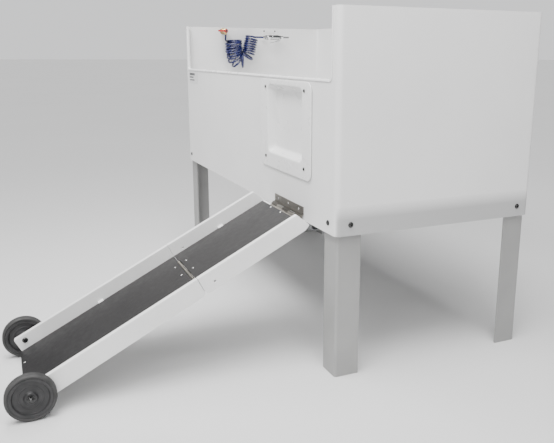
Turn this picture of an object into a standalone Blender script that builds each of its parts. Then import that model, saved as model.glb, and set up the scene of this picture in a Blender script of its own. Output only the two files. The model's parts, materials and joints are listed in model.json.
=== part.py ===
"""Raised wash tank on four angle legs, with a folding wheeled ramp and a curly wash-down hose.

Units are metres, +Z is up and +X runs along the tank's front from left to right. The origin is
on the floor, under the middle of the object's box. Each object is one physical piece. Pieces of
the ramp are drawn in the ramp's own frame (x across, s up the slope, h square to the deck) and
hang from empties that stand on the joint axes.
"""
import math

import bmesh
import bpy
from mathutils import Matrix, Vector

GAP = 0.0003                      # clearance between pieces that touch

# Tank
TANK_LENGTH = 1.80
TANK_DEPTH = 0.80
SKIRT_Z = 0.50
RIM_Z = 1.00
WALL_TOP_Z = 1.22
WALL = 0.010
CORNER_R = 0.020
FRONT_FLANGE = 0.036              # width of the side walls' turned-in front edge
OPENING_R = 0.022
TRIM_WIDTH = 0.016
TRIM_HEIGHT = 0.010
FLOOR_THICK = 0.010
FLOOR_RIGHT_Z = 0.585
FLOOR_FALL = 0.0124               # rise of the floor per metre towards the left
RIB_POSITIONS = (-0.45, 0.15)
RIB_THICK = 0.012
RIB_DEPTH = 0.045

# Legs and their fixings
LEG_FLANGE = 0.090
LEG_THICK = 0.008
LEG_TOP_Z = 0.560
LEG_BOLT_INSET = 0.055
LEG_BOLT_Z = 0.537
M8_HEAD_R = 0.0080
M8_HEAD_H = 0.0050
M8_R = 0.0040
M8_HOLE_R = 0.0044

# Recessed cover on the front
COVER_CENTRE = (0.485, 0.8165)
COVER_SIZE = (0.466, 0.337)
COVER_CORNER_R = 0.030
COVER_THICK = 0.004
POCKET_CENTRE = (0.485, 0.835)
POCKET_MOUTH = (0.320, 0.260)
POCKET_FLOOR = (0.284, 0.224)
POCKET_DEPTH = 0.030
GASKET_THICK = 0.0018              # room under the cover for its seal
COVER_SCREW_PITCH = (0.359, 0.268)
COVER_SCREW_Z = 0.821
COVER_SCREW_HEAD_R = 0.0060
DATA_PLATE = (-0.84, -0.68, 0.924, 0.987)

# Ramp, in its own frame: s up the slope, h square to the deck
RAMP_SLOPE = math.radians(27.0)
RAMP_LEFT_X = 0.300
RAMP_RIGHT_X = 0.740
RAIL_THICK = 0.018
RAIL_LOW = 0.004
RAIL_HIGH = 0.070
DECK_TOP = 0.016
MAT_THICK = 0.004
PIN_S = -0.006
PIN_H = 0.0145
FOLD_S = -0.432
FOLD_RELIEF = 0.013
RAMP_END_S = -1.069
AXLE_S = -1.033
STOW_HOLE = (-0.386, 0.030)

# Hinges, both of one size
HINGE_LENGTH = 0.266
HINGE_LEAF = 0.036
LEAF_THICK = 0.0025
BARREL_R = 0.0055
HINGE_BORE_R = 0.0029
HINGE_PIN_R = 0.0026
KNUCKLES = 5

# Wheels
WHEEL_R = 0.075
WHEEL_WIDTH = 0.030
TYRE_DEPTH = 0.011
AXLE_R = 0.006
AXLE_HOLE_R = 0.0064
SPACER = 0.0034                    # gap between rail and wheel
AXLE_TAIL = 0.0125                 # what stands out of the wheel for its washer and nut

# Drain, below the floor near the front right corner
DRAIN_X = 0.375
DRAIN_INSET = 0.075
DRAIN_PIPE_Z = 0.462
DRAIN_PIPE_R = 0.025
DRAIN_BEND_R = 0.030

# Water supply on the left wall; pairs are (distance behind the front, height)
INLET_Z = 1.200
INLET_TAIL = 0.0200
INLET_BODY_INSET = 0.0290          # from the wall's outer face to the valve body
INLET_BODY_LENGTH = 0.0410
HOSE_X = -0.8395
HOSE_R = 0.005
DROP_AXIS = ((0.2515, 1.157), (0.2518, 1.135), (0.253, 1.110), (0.255, 1.088), (0.259, 1.066), (0.266, 1.045))
DROP_R = 0.0480
RISE_AXIS = ((0.3415, 1.083), (0.360, 1.160))
RISE_R = 0.0370
INLET_INSET = DROP_AXIS[0][0] - DROP_R + HOSE_R
LINK_ROUTE = ((0.2735, 1.029), (0.285, 1.018), (0.300, 1.015), (0.315, 1.021), (0.327, 1.038))
TO_GUN_ROUTE = ((0.3625, 1.1660), (0.369, 1.1695), (0.380, 1.1695))

# Spray gun, level in its hook
GUN_X = HOSE_X + RISE_R - HOSE_R
GUN_Z = 1.168
GUN_INSET = 0.425
GUN_BODY_LENGTH = 0.094
GUN_BODY_R = 0.0125
TRIGGER_PIVOT = (0.084, -0.0165)   # from the gun's rear end, along and up
HOOK_PLATE_TOP = 1.213
HOOK_ARM_TOP = 1.196
HOOK_ARMS = (0.014, 0.026, 0.092, 0.104)
HOOK_THICK = 0.002

# The front panel's outer face is placed so that the object's box is centred on the origin
AXLE_H = (WHEEL_R - SKIRT_Z - AXLE_S * math.sin(RAMP_SLOPE)) / math.cos(RAMP_SLOPE)
AXLE_REACH = -(AXLE_S * math.cos(RAMP_SLOPE) - AXLE_H * math.sin(RAMP_SLOPE))
FRONT = (AXLE_REACH + WHEEL_R - TANK_DEPTH - M8_HEAD_H - GAP) / 2
BACK = FRONT + TANK_DEPTH
LEFT = -TANK_LENGTH / 2
RIGHT = TANK_LENGTH / 2
RAMP_X = (RAMP_LEFT_X + RAMP_RIGHT_X) / 2
MAT_TOP = DECK_TOP + GAP + MAT_THICK


# ---------------------------------------------------------------- shape helpers

def material(name, colour, roughness, metallic=0.0):
    """Return a Principled material, made once for each name."""
    found = bpy.data.materials.get(name)
    if found:
        return found
    made = bpy.data.materials.new(name)
    made.use_nodes = True
    shader = made.node_tree.nodes["Principled BSDF"]
    shader.inputs["Base Color"].default_value = (*colour, 1.0)
    shader.inputs["Roughness"].default_value = roughness
    shader.inputs["Metallic"].default_value = metallic
    made.diffuse_color = (*colour, 1.0)
    return made


def white_plastic():
    return material("white_plastic", (0.80, 0.80, 0.79), 0.42)


def steel():
    return material("steel", (0.60, 0.59, 0.56), 0.32, 1.0)


def bolt_steel():
    return material("bolt_steel", (0.55, 0.55, 0.55), 0.28, 1.0)


def rubber():
    return material("rubber", (0.075, 0.073, 0.075), 0.80)


def wheel_plastic():
    return material("wheel_plastic", (0.060, 0.060, 0.062), 0.55)


def tyre_rubber():
    return material("tyre_rubber", (0.13, 0.13, 0.13), 0.75)


def pipe_grey():
    return material("pipe_grey", (0.20, 0.205, 0.21), 0.45)


def brass():
    return material("brass", (0.72, 0.56, 0.28), 0.30, 1.0)


def chrome():
    return material("chrome", (0.80, 0.80, 0.80), 0.12, 1.0)


def hose_blue():
    return material("hose_blue", (0.02, 0.05, 0.42), 0.30)


def add_prism(bm, outline, start, end, axis="X"):
    """Extrude a closed outline along an axis, between two places on it."""
    def corner(a, b, t):
        return {"X": (t, a, b), "Y": (a, t, b), "Z": (a, b, t)}[axis]
    low = [bm.verts.new(corner(a, b, start)) for a, b in outline]
    high = [bm.verts.new(corner(a, b, end)) for a, b in outline]
    bm.faces.new(low)
    bm.faces.new(high)
    for i, vert in enumerate(low):
        j = (i + 1) % len(low)
        bm.faces.new((vert, low[j], high[j], high[i]))


def add_box(bm, low, high):
    """Add a box between two corners."""
    outline = ((low[0], low[1]), (high[0], low[1]), (high[0], high[1]), (low[0], high[1]))
    add_prism(bm, outline, low[2], high[2], "Z")


def add_loft(bm, rings):
    """Join rings of equal count, one after another, and cap both ends."""
    loops = [[bm.verts.new(point) for point in ring] for ring in rings]
    bm.faces.new(loops[0])
    bm.faces.new(loops[-1])
    for first, second in zip(loops, loops[1:]):
        for i, vert in enumerate(first):
            j = (i + 1) % len(first)
            bm.faces.new((vert, first[j], second[j], second[i]))


def turned_matrix(point, direction):
    """Return the placement that stands +Z along a direction at a point."""
    spin = Vector((0, 0, 1)).rotation_difference(Vector(direction).normalized())
    return Matrix.Translation(point) @ spin.to_matrix().to_4x4()


def add_turned(bm, profile, point, direction, segments=12, ring=False):
    """Turn a profile of (radius, distance) about a line. A ring closes on itself."""
    place = turned_matrix(point, direction)
    loops = []
    for radius, along in profile:
        if radius == 0:
            loops.append([bm.verts.new(place @ Vector((0, 0, along)))])
            continue
        loop = []
        for i in range(segments):
            angle = 2 * math.pi * i / segments
            spot = Vector((radius * math.cos(angle), radius * math.sin(angle), along))
            loop.append(bm.verts.new(place @ spot))
        loops.append(loop)
    pairs = list(zip(loops, loops[1:]))
    if ring:
        pairs.append((loops[-1], loops[0]))
    for first, second in pairs:
        for i in range(segments):
            j = (i + 1) % segments
            corners = [first[i % len(first)], first[j % len(first)],
                       second[j % len(second)], second[i % len(second)]]
            unique = list(dict.fromkeys(corners))
            bm.faces.new(unique)


def add_rod(bm, radius, point, direction, length, segments=12):
    """Add a plain round bar."""
    profile = ((0, 0), (radius, 0), (radius, length), (0, length))
    add_turned(bm, profile, point, direction, segments)


def add_ring(bm, inner, outer, point, direction, length, segments=16):
    """Add a plain tube or washer."""
    profile = ((inner, 0), (outer, 0), (outer, length), (inner, length))
    add_turned(bm, profile, point, direction, segments, ring=True)


def add_screw(bm, point, direction, head_r, head_h, shank_r, shank, segments=10):
    """Add a domed screw whose head sits on a face and whose shank goes into it."""
    profile = ((0, -shank), (shank_r, -shank), (shank_r, GAP), (head_r, GAP),
               (head_r * 0.94, GAP + head_h * 0.45), (head_r * 0.60, GAP + head_h * 0.85),
               (0, GAP + head_h))
    add_turned(bm, profile, point, direction, segments)


def add_pipe(bm, path, radius, bore, segments=14):
    """Sweep a round wall along a path; a bore of 0 gives a solid bar."""
    points = [Vector(point) for point in path]
    side = None
    frames = []
    for i, point in enumerate(points):
        ahead = points[min(i + 1, len(points) - 1)] - points[max(i - 1, 0)]
        ahead.normalize()
        if side is None:
            side = ahead.orthogonal().normalized()
        side = (side - ahead * side.dot(ahead)).normalized()
        frames.append((point, side.copy(), ahead.cross(side)))

    def loop(size, frame):
        point, one, two = frame
        ring = []
        for i in range(segments):
            angle = 2 * math.pi * i / segments
            ring.append(bm.verts.new(point + size * (math.cos(angle) * one + math.sin(angle) * two)))
        return ring
    loops = [loop(radius, frame) for frame in frames]
    if bore:
        loops += [loop(bore, frame) for frame in reversed(frames)]
        loops.append(loops[0])
    else:
        bm.faces.new(loops[0])
        bm.faces.new(loops[-1])
    for first, second in zip(loops, loops[1:]):
        for i, vert in enumerate(first):
            j = (i + 1) % segments
            bm.faces.new((vert, first[j], second[j], second[i]))


def rounded_rectangle(centre, size, radius, steps=4):
    """Return the outline of a rectangle with round corners."""
    half_a = size[0] / 2 - radius
    half_b = size[1] / 2 - radius
    corners = ((half_a, half_b, 0), (-half_a, half_b, 90), (-half_a, -half_b, 180), (half_a, -half_b, 270))
    outline = []
    for a, b, turn in corners:
        for i in range(steps + 1):
            angle = math.radians(turn + 90 * i / steps)
            outline.append((centre[0] + a + radius * math.cos(angle),
                            centre[1] + b + radius * math.sin(angle)))
    return outline


# ---------------------------------------------------------------- object helpers

class Mover:
    """An empty on a joint axis, and where it stands in the ramp's frame."""

    def __init__(self, name, point, parent=None):
        self.point = Vector(point)
        self.empty = bpy.data.objects.new(name, None)
        bpy.context.scene.collection.objects.link(self.empty)
        if parent:
            self.empty.parent = parent.empty
            self.empty.location = self.point - parent.point
        else:
            self.empty.location = ramp_to_world(self.point)
            self.empty.rotation_euler = (RAMP_SLOPE, 0, 0)


def ramp_to_world(point):
    """Take a point from the ramp's frame to the object's."""
    place = Matrix.Translation((0, FRONT, SKIRT_Z)) @ Matrix.Rotation(RAMP_SLOPE, 4, "X")
    return place @ Vector(point)


def make(name, bm, look, mover=None, pivot=None):
    """Turn a bmesh into a named object, on its mover's axis or its own pivot."""
    bmesh.ops.recalc_face_normals(bm, faces=bm.faces)
    origin = mover.point if mover else Vector(pivot or (0, 0, 0))
    bmesh.ops.translate(bm, verts=bm.verts, vec=-origin)
    mesh = bpy.data.meshes.new(name)
    bm.to_mesh(mesh)
    bm.free()
    mesh.shade_smooth()
    mesh.set_sharp_from_angle(angle=math.radians(35))
    obj = bpy.data.objects.new(name, mesh)
    bpy.context.scene.collection.objects.link(obj)
    if look:
        mesh.materials.append(look)
    if mover:
        obj.parent = mover.empty
    else:
        obj.location = origin
    return obj


def combine(target, name, bm, mover, operation):
    """Combine an object with a hidden helper shape."""
    helper = make(name, bm, None, mover)
    helper.hide_render = True
    helper.display_type = "WIRE"
    boolean = target.modifiers.new(name, "BOOLEAN")
    boolean.operation = operation
    boolean.solver = "EXACT"
    boolean.object = helper


def cut(target, name, bm, mover=None):
    """Cut a shape away from an object."""
    combine(target, name, bm, mover, "DIFFERENCE")


def join(target, name, bm, mover=None):
    """Join a shape to an object."""
    combine(target, name, bm, mover, "UNION")


# ---------------------------------------------------------------- tank

def leg_corners():
    """Return (name, x sign, y sign) for each leg."""
    return (("front_left", -1, -1), ("front_right", 1, -1), ("rear_left", -1, 1), ("rear_right", 1, 1))


def leg_bolt_places():
    """Return (point on the tank's outer face, outward direction) for the eight leg bolts."""
    places = []
    for _, sx, sy in leg_corners():
        edge_y = BACK if sy > 0 else FRONT
        places.append(((sx * (RIGHT - LEG_BOLT_INSET), edge_y, LEG_BOLT_Z), (0, sy, 0)))
        places.append(((sx * RIGHT, edge_y - sy * LEG_BOLT_INSET, LEG_BOLT_Z), (sx, 0, 0)))
    return places


def cover_screw_places():
    """Return the (x, z) of the four cover screws."""
    half_x, half_z = COVER_SCREW_PITCH[0] / 2, COVER_SCREW_PITCH[1] / 2
    return [(COVER_CENTRE[0] + sx * half_x, COVER_SCREW_Z + sz * half_z)
            for sx in (-1, 1) for sz in (-1, 1)]


def front_opening():
    """Return the outline in x and z of the low front's opening."""
    left = LEFT + FRONT_FLANGE
    right = RIGHT - FRONT_FLANGE
    low = RIM_Z - TRIM_HEIGHT
    outline = [(right, WALL_TOP_Z + 0.05), (left, WALL_TOP_Z + 0.05)]
    for centre_x, turn in ((left + OPENING_R, 180), (right - OPENING_R, 270)):
        for i in range(6):
            angle = math.radians(turn + 90 * i / 5)
            outline.append((centre_x + OPENING_R * math.cos(angle),
                            low + OPENING_R + OPENING_R * math.sin(angle)))
    return outline


def tank_shell():
    """Four bent and welded sheet walls, with the low front's turned-in flanges and opening."""
    centre = (0, (FRONT + BACK) / 2)
    outer = rounded_rectangle(centre, (TANK_LENGTH, TANK_DEPTH), CORNER_R)
    inner = rounded_rectangle(centre, (TANK_LENGTH - 2 * WALL, TANK_DEPTH - 2 * WALL), CORNER_R - WALL)
    bm = bmesh.new()
    loops = []
    for outline, z in ((outer, SKIRT_Z), (outer, WALL_TOP_Z), (inner, WALL_TOP_Z), (inner, SKIRT_Z)):
        loops.append([bm.verts.new((x, y, z)) for x, y in outline])
    loops.append(loops[0])
    for first, second in zip(loops, loops[1:]):
        for i, vert in enumerate(first):
            j = (i + 1) % len(first)
            bm.faces.new((vert, first[j], second[j], second[i]))
    shell = make("tank_shell", bm, white_plastic())

    bm = bmesh.new()
    add_prism(bm, front_opening(), FRONT - 0.05, FRONT + 0.04, "Y")
    window = rounded_rectangle(POCKET_CENTRE, (POCKET_MOUTH[0] + 0.012, POCKET_MOUTH[1] + 0.012), 0.02)
    add_prism(bm, window, FRONT - 0.05, FRONT + 0.04, "Y")
    cut(shell, "tank_openings_cutter", bm)

    bm = bmesh.new()
    for point, direction in leg_bolt_places():
        start = Vector(point) + Vector(direction) * 0.01
        add_rod(bm, M8_HOLE_R, start, -Vector(direction), 0.03)
    for x, z in cover_screw_places():
        add_rod(bm, 0.0028, (x, FRONT - 0.01, z), (0, 1, 0), 0.0185, 8)
    add_rod(bm, 0.0110, (LEFT - 0.01, FRONT + INLET_INSET, INLET_Z), (1, 0, 0), 0.03, 16)
    cut(shell, "tank_holes_cutter", bm)


def rim_trim():
    """The rounded edging on the front's opening, across its foot and up both sides."""
    inset = TRIM_HEIGHT
    top = WALL_TOP_Z - GAP
    sides = front_opening()[2:]
    path_out = [(sides[0][0], top)] + sides + [(sides[-1][0], top)]
    rings = []
    profile = ((-0.5, 0.10), (-0.5, 0.55), (-0.34, 0.90), (-0.12, 1.0), (0.12, 1.0),
               (0.34, 0.90), (0.5, 0.55), (0.5, 0.10))
    for i, (x, z) in enumerate(path_out):
        if i in (0, len(path_out) - 1) or z > RIM_Z - TRIM_HEIGHT + OPENING_R - 0.0001:
            inward = Vector((math.copysign(1, -x), 0))
        else:
            centre_x = math.copysign(abs(sides[0][0]) - OPENING_R, x)
            inward = (Vector((centre_x, RIM_Z - TRIM_HEIGHT + OPENING_R)) - Vector((x, z))).normalized()
        ring = []
        for across, up in profile:
            reach = GAP + up * inset
            ring.append((x + inward.x * reach, FRONT + WALL / 2 + across * TRIM_WIDTH, z + inward.y * reach))
        rings.append(ring)
    bm = bmesh.new()
    add_loft(bm, rings)
    make("front_rim_trim", bm, white_plastic())


def floor_top(x):
    """Height of the sloping floor's upper face at x."""
    return FLOOR_RIGHT_Z + FLOOR_FALL * (RIGHT - x)


def tank_floor():
    """Sheet floor, falling to the right, with the drain hole through it."""
    edge = WALL + GAP
    outline = rounded_rectangle((0, (FRONT + BACK) / 2), (TANK_LENGTH - 2 * edge, TANK_DEPTH - 2 * edge),
                                CORNER_R - WALL, 3)
    bm = bmesh.new()
    add_loft(bm, [[(x, y, floor_top(x) - FLOOR_THICK) for x, y in outline],
                  [(x, y, floor_top(x)) for x, y in outline]])
    plate = make("tank_floor", bm, white_plastic())
    bm = bmesh.new()
    add_rod(bm, 0.026, (DRAIN_X, FRONT + DRAIN_INSET, 0.5), (0, 0, 1), 0.2, 20)
    cut(plate, "floor_drain_cutter", bm)


def floor_ribs():
    """Upright strips across the tank, under its floor."""
    for number, x in enumerate(RIB_POSITIONS, 1):
        top = floor_top(x + RIB_THICK / 2) - FLOOR_THICK - GAP
        bm = bmesh.new()
        add_box(bm, (x - RIB_THICK / 2, FRONT + WALL + GAP, top - RIB_DEPTH),
                (x + RIB_THICK / 2, BACK - WALL - GAP, top))
        make(f"floor_rib_{number}", bm, white_plastic())


def legs():
    """Four angles inside the tank's corners, each bolted through both flanges."""
    for name, sx, sy in leg_corners():
        corner_x = RIGHT - WALL - GAP
        corner_y = TANK_DEPTH / 2 - WALL - GAP
        middle = (FRONT + BACK) / 2
        ease = CORNER_R - WALL
        outline = [(corner_x - LEG_FLANGE, corner_y), (corner_x - ease, corner_y),
                   (corner_x - ease * 0.29, corner_y - ease * 0.29),
                   (corner_x, corner_y - ease), (corner_x, corner_y - LEG_FLANGE),
                   (corner_x - LEG_THICK, corner_y - LEG_FLANGE),
                   (corner_x - LEG_THICK, corner_y - LEG_THICK),
                   (corner_x - LEG_FLANGE, corner_y - LEG_THICK)]
        bm = bmesh.new()
        add_prism(bm, [(sx * x, middle + sy * y) for x, y in outline], 0.0, LEG_TOP_Z, "Z")
        leg = make(f"leg_{name}", bm, white_plastic())
        bm = bmesh.new()
        for point, direction in leg_bolt_places():
            start = Vector(point) + Vector(direction) * 0.01
            if start.x * sx > 0 and (start.y - middle) * sy > 0:
                add_rod(bm, M8_HOLE_R, start, -Vector(direction), 0.05)
        cut(leg, f"leg_{name}_cutter", bm)


def leg_bolts():
    """Eight domed bolts, each through the tank's skirt and a leg's flange."""
    length = WALL + LEG_THICK + 2 * GAP + 0.0105
    for number, (point, direction) in enumerate(leg_bolt_places(), 1):
        bm = bmesh.new()
        add_screw(bm, point, direction, M8_HEAD_R, M8_HEAD_H, M8_R, length, 12)
        make(f"leg_bolt_{number}", bm, bolt_steel())


def cover():
    """The recessed cover and its four screws."""
    def ring(centre, size, radius, y):
        return [(x, y, z) for x, z in rounded_rectangle(centre, size, radius)]
    back = FRONT - GASKET_THICK
    front = back - COVER_THICK
    grow = 2 * COVER_THICK
    mouth_back = (POCKET_MOUTH[0] + grow, POCKET_MOUTH[1] + grow)
    floor_back = (POCKET_FLOOR[0] + grow * 0.8, POCKET_FLOOR[1] + grow * 0.8)
    rings = [ring(POCKET_CENTRE, floor_back, 0.020, front + POCKET_DEPTH + COVER_THICK),
             ring(POCKET_CENTRE, mouth_back, 0.024, back),
             ring(COVER_CENTRE, COVER_SIZE, COVER_CORNER_R, back),
             ring(COVER_CENTRE, COVER_SIZE, COVER_CORNER_R, front + 0.001),
             ring(COVER_CENTRE, (COVER_SIZE[0] - 0.002, COVER_SIZE[1] - 0.002), COVER_CORNER_R - 0.001, front),
             ring(POCKET_CENTRE, (POCKET_MOUTH[0] + 0.006, POCKET_MOUTH[1] + 0.006), 0.024, front),
             ring(POCKET_CENTRE, POCKET_MOUTH, 0.022, front + 0.003),
             ring(POCKET_CENTRE, POCKET_FLOOR, 0.018, front + POCKET_DEPTH)]
    bm = bmesh.new()
    add_loft(bm, rings)
    plate = make("recess_cover", bm, white_plastic())

    for number, (x, z) in enumerate(cover_screw_places(), 1):
        bm = bmesh.new()
        add_screw(bm, (x, front, z), (0, -1, 0), COVER_SCREW_HEAD_R, 0.0036, 0.0025, FRONT - front + 0.0080)
        make(f"cover_screw_{number}", bm, bolt_steel())
    bm = bmesh.new()
    for x, z in cover_screw_places():
        add_rod(bm, 0.0028, (x, FRONT - 0.02, z), (0, 1, 0), 0.04, 8)
    cut(plate, "recess_cover_cutter", bm)


def data_plate():
    """Blank rating plate at the left end of the front."""
    left, right, low, high = DATA_PLATE
    bm = bmesh.new()
    add_box(bm, (left, FRONT - GAP - 0.0008, low), (right, FRONT - GAP, high))
    make("data_plate", bm, material("data_plate", (0.72, 0.72, 0.72), 0.4))


# ---------------------------------------------------------------- drain

def drain():
    """Flanged strainer, bent waste pipe, union ring, valve and its lever."""
    x, y = DRAIN_X, FRONT + DRAIN_INSET
    seat = floor_top(x - 0.045) + GAP
    under = floor_top(x + 0.04) - FLOOR_THICK
    throat_end = under - 0.026
    bm = bmesh.new()
    add_turned(bm, ((0, seat - 0.0015), (0.0210, seat - 0.0015), (0.0210, throat_end), (0.0245, throat_end),
                    (0.0245, seat), (0.0430, seat), (0.0420, seat + 0.003), (0.0210, seat + 0.003),
                    (0.0200, seat + 0.0010), (0, seat + 0.0010)), (x, y, 0), (0, 0, 1), 24)
    flange = make("drain_strainer", bm, steel())
    bm = bmesh.new()
    for i in range(6):
        angle = math.radians(60 * i)
        spot = (x + 0.0125 * math.cos(angle), y + 0.0125 * math.sin(angle), seat - 0.01)
        add_rod(bm, 0.0036, spot, (0, 0, 1), 0.02, 8)
    cut(flange, "strainer_cutter", bm)

    bend = DRAIN_BEND_R
    path = [(x, y, throat_end - GAP)]
    for i in range(7):
        angle = math.radians(180 + 15 * i)
        path.append((x + bend + bend * math.cos(angle), y, DRAIN_PIPE_Z + bend + bend * math.sin(angle)))
    pipe_end = x + 0.125
    path.append((pipe_end, y, DRAIN_PIPE_Z))
    bm = bmesh.new()
    add_pipe(bm, path, DRAIN_PIPE_R, 0.0205)
    make("drain_pipe", bm, pipe_grey())

    union_x = pipe_end + GAP
    bm = bmesh.new()
    add_ring(bm, 0.0205, 0.0265, (union_x, y, DRAIN_PIPE_Z), (1, 0, 0), 0.008, 14)
    make("drain_union", bm, pipe_grey())

    valve_x = union_x + 0.008 + GAP
    middle = valve_x + 0.032
    bm = bmesh.new()
    add_turned(bm, ((0, 0), (0.0240, 0), (0.0240, 0.010), (0.0290, 0.014), (0.0290, 0.050),
                    (0.0240, 0.054), (0.0240, 0.064), (0.0210, 0.065), (0.0210, 0.090),
                    (0.0170, 0.090), (0.0170, 0.066), (0, 0.066)), (valve_x, y, DRAIN_PIPE_Z), (1, 0, 0), 14)
    make("drain_valve_body", bm, pipe_grey())

    pivot = (middle, y + 0.0290 + GAP, DRAIN_PIPE_Z)
    bm = bmesh.new()
    add_rod(bm, 0.009, pivot, (0, 1, 0), 0.012, 12)
    lever = make("drain_lever", bm, material("lever_red", (0.45, 0.03, 0.03), 0.4), pivot=pivot)
    bm = bmesh.new()
    add_box(bm, (middle - 0.006, pivot[1] + 0.003, DRAIN_PIPE_Z - 0.002),
            (middle + 0.006, pivot[1] + 0.008, DRAIN_PIPE_Z + 0.060))
    join(lever, "drain_lever_blade", bm)


# ---------------------------------------------------------------- water supply

def inlet():
    """Bulkhead fitting through the left wall, and the angle valve with its hose tail."""
    y, z = FRONT + INLET_INSET, INLET_Z
    bm = bmesh.new()
    add_turned(bm, ((0, 0.017), (0.0075, 0.017), (0.0075, 0), (0.0160, 0), (0.0160, M8_HEAD_H),
                    (0.0104, M8_HEAD_H), (0.0104, 0.034), (0, 0.034)),
               (LEFT - GAP - M8_HEAD_H, y, z), (1, 0, 0), 16)
    make("inlet_bulkhead", bm, brass())
    body_x = LEFT + INLET_BODY_INSET + GAP
    bm = bmesh.new()
    add_turned(bm, ((0, 0), (0.0130, 0), (0.0130, 0.034), (0.0085, 0.038), (0.0085, INLET_BODY_LENGTH),
                    (0, INLET_BODY_LENGTH)), (body_x, y, z), (1, 0, 0), 12)
    body = make("inlet_valve_body", bm, brass())
    bm = bmesh.new()
    add_rod(bm, 0.0070, (HOSE_X, y, z), (0, 0, -1), INLET_TAIL, 8)
    join(body, "inlet_hose_tail", bm)

    pivot = (body_x + INLET_BODY_LENGTH + GAP, y, z)
    bm = bmesh.new()
    outline = [(y - 0.046, z - 0.004), (y - 0.046, z + 0.004), (y - 0.006, z + 0.0065)]
    for i in range(9):
        angle = math.radians(120 - 30 * i)
        outline.append((y + 0.009 * math.cos(angle), z + 0.009 * math.sin(angle)))
    outline.append((y - 0.006, z - 0.0065))
    add_prism(bm, outline, pivot[0], pivot[0] + 0.005, "X")
    make("inlet_lever", bm, material("lever_red", (0.45, 0.03, 0.03), 0.4), pivot=pivot)


def cord_tube(name, x, route):
    """A plain hose along a smooth curve through the route's points."""
    points = [Vector((x, FRONT + y, z)) for y, z in route]
    padded = [2 * points[0] - points[1]] + points + [2 * points[-1] - points[-2]]
    dense = []
    for i in range(1, len(padded) - 2):
        p0, p1, p2, p3 = padded[i - 1:i + 3]
        count = max(1, round((p2 - p1).length / (2.2 * 2 * HOSE_R)))
        for k in range(count):
            t = k / count
            dense.append(0.5 * (2 * p1 + (p2 - p0) * t + (2 * p0 - 5 * p1 + 4 * p2 - p3) * t * t
                                + (3 * p1 - p0 - 3 * p2 + p3) * t ** 3))
    dense.append(points[-1])
    curve = bpy.data.curves.new(name, "CURVE")
    curve.dimensions = "3D"
    curve.bevel_depth = HOSE_R
    curve.bevel_resolution = 2
    curve.use_fill_caps = True
    spline = curve.splines.new("POLY")
    spline.points.add(len(dense) - 1)
    for spot, point in zip(spline.points, dense):
        spot.co = (*point, 1.0)
    curve.materials.append(hose_blue())
    tube = bpy.data.objects.new(name, curve)
    bpy.context.scene.collection.objects.link(tube)


def hose():
    """The curly hose: two coiled legs as solid outer shapes, and the plain stretches between."""
    for name, axis, radius in (("hose_coil_drop", DROP_AXIS, DROP_R), ("hose_coil_rise", RISE_AXIS, RISE_R)):
        bm = bmesh.new()
        add_pipe(bm, [(HOSE_X, FRONT + y, z) for y, z in axis], radius, 0, 20)
        make(name, bm, hose_blue())
    drop_top, drop_end = DROP_AXIS[0], Vector(DROP_AXIS[-1])
    drop_lean = (drop_end - Vector(DROP_AXIS[-2])).normalized()
    rise_foot, rise_top = Vector(RISE_AXIS[0]), Vector(RISE_AXIS[1])
    rise_lean = (rise_top - rise_foot).normalized()
    tail_z = INLET_Z - INLET_TAIL - GAP
    cord_tube("hose_from_inlet", HOSE_X, [(INLET_INSET, tail_z), (INLET_INSET, (tail_z + drop_top[1]) / 2),
                                          (INLET_INSET, drop_top[1] + GAP)])
    link_start = drop_end + drop_lean * 2 * GAP
    link_end = rise_foot - rise_lean * 2 * GAP
    cord_tube("hose_link", HOSE_X, [tuple(link_start), tuple(link_start + drop_lean * 0.006), *LINK_ROUTE,
                                    tuple(link_end - rise_lean * 0.018), tuple(link_end)])
    leave = rise_top + rise_lean * 2 * GAP
    cord_tube("hose_to_gun", GUN_X, [tuple(leave), tuple(leave + rise_lean * 0.003), *TO_GUN_ROUTE,
                                     (GUN_INSET - 2 * HOSE_R, GUN_Z), (GUN_INSET - HOSE_R, GUN_Z),
                                     (GUN_INSET - GAP, GUN_Z)])


def spray_gun():
    """Gun body, nozzle and trigger, resting level in its hook."""
    rear = FRONT + GUN_INSET
    bm = bmesh.new()
    add_turned(bm, ((0, 0), (0.0085, 0), (0.0110, 0.002), (0.0110, 0.012), (GUN_BODY_R, 0.016),
                    (GUN_BODY_R, 0.080), (0.0105, 0.084), (0.0105, GUN_BODY_LENGTH), (0, GUN_BODY_LENGTH)),
               (GUN_X, rear, GUN_Z), (0, 1, 0), 14)
    make("spray_gun_body", bm, chrome())
    bm = bmesh.new()
    add_turned(bm, ((0, 0), (0.0085, 0), (0.0085, 0.012), (0.0060, 0.016), (0.0045, 0.050), (0, 0.050)),
               (GUN_X, rear + GUN_BODY_LENGTH + GAP, GUN_Z), (0, 1, 0), 12)
    make("spray_gun_nozzle", bm, chrome())
    pivot = (GUN_X, rear + TRIGGER_PIVOT[0], GUN_Z + TRIGGER_PIVOT[1])
    outline = [(0.0030, 0.0030), (0.0030, -0.0030), (-0.0060, -0.0050), (-0.0360, -0.0125), (-0.0530, -0.0140),
               (-0.0530, -0.0110), (-0.0360, -0.0090), (-0.0110, -0.0005), (-0.0040, 0.0030)]
    bm = bmesh.new()
    add_prism(bm, [(pivot[1] + along, pivot[2] + up) for along, up in outline],
              GUN_X - 0.006, GUN_X + 0.006, "X")
    make("spray_gun_trigger", bm, chrome(), pivot=pivot)


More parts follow.
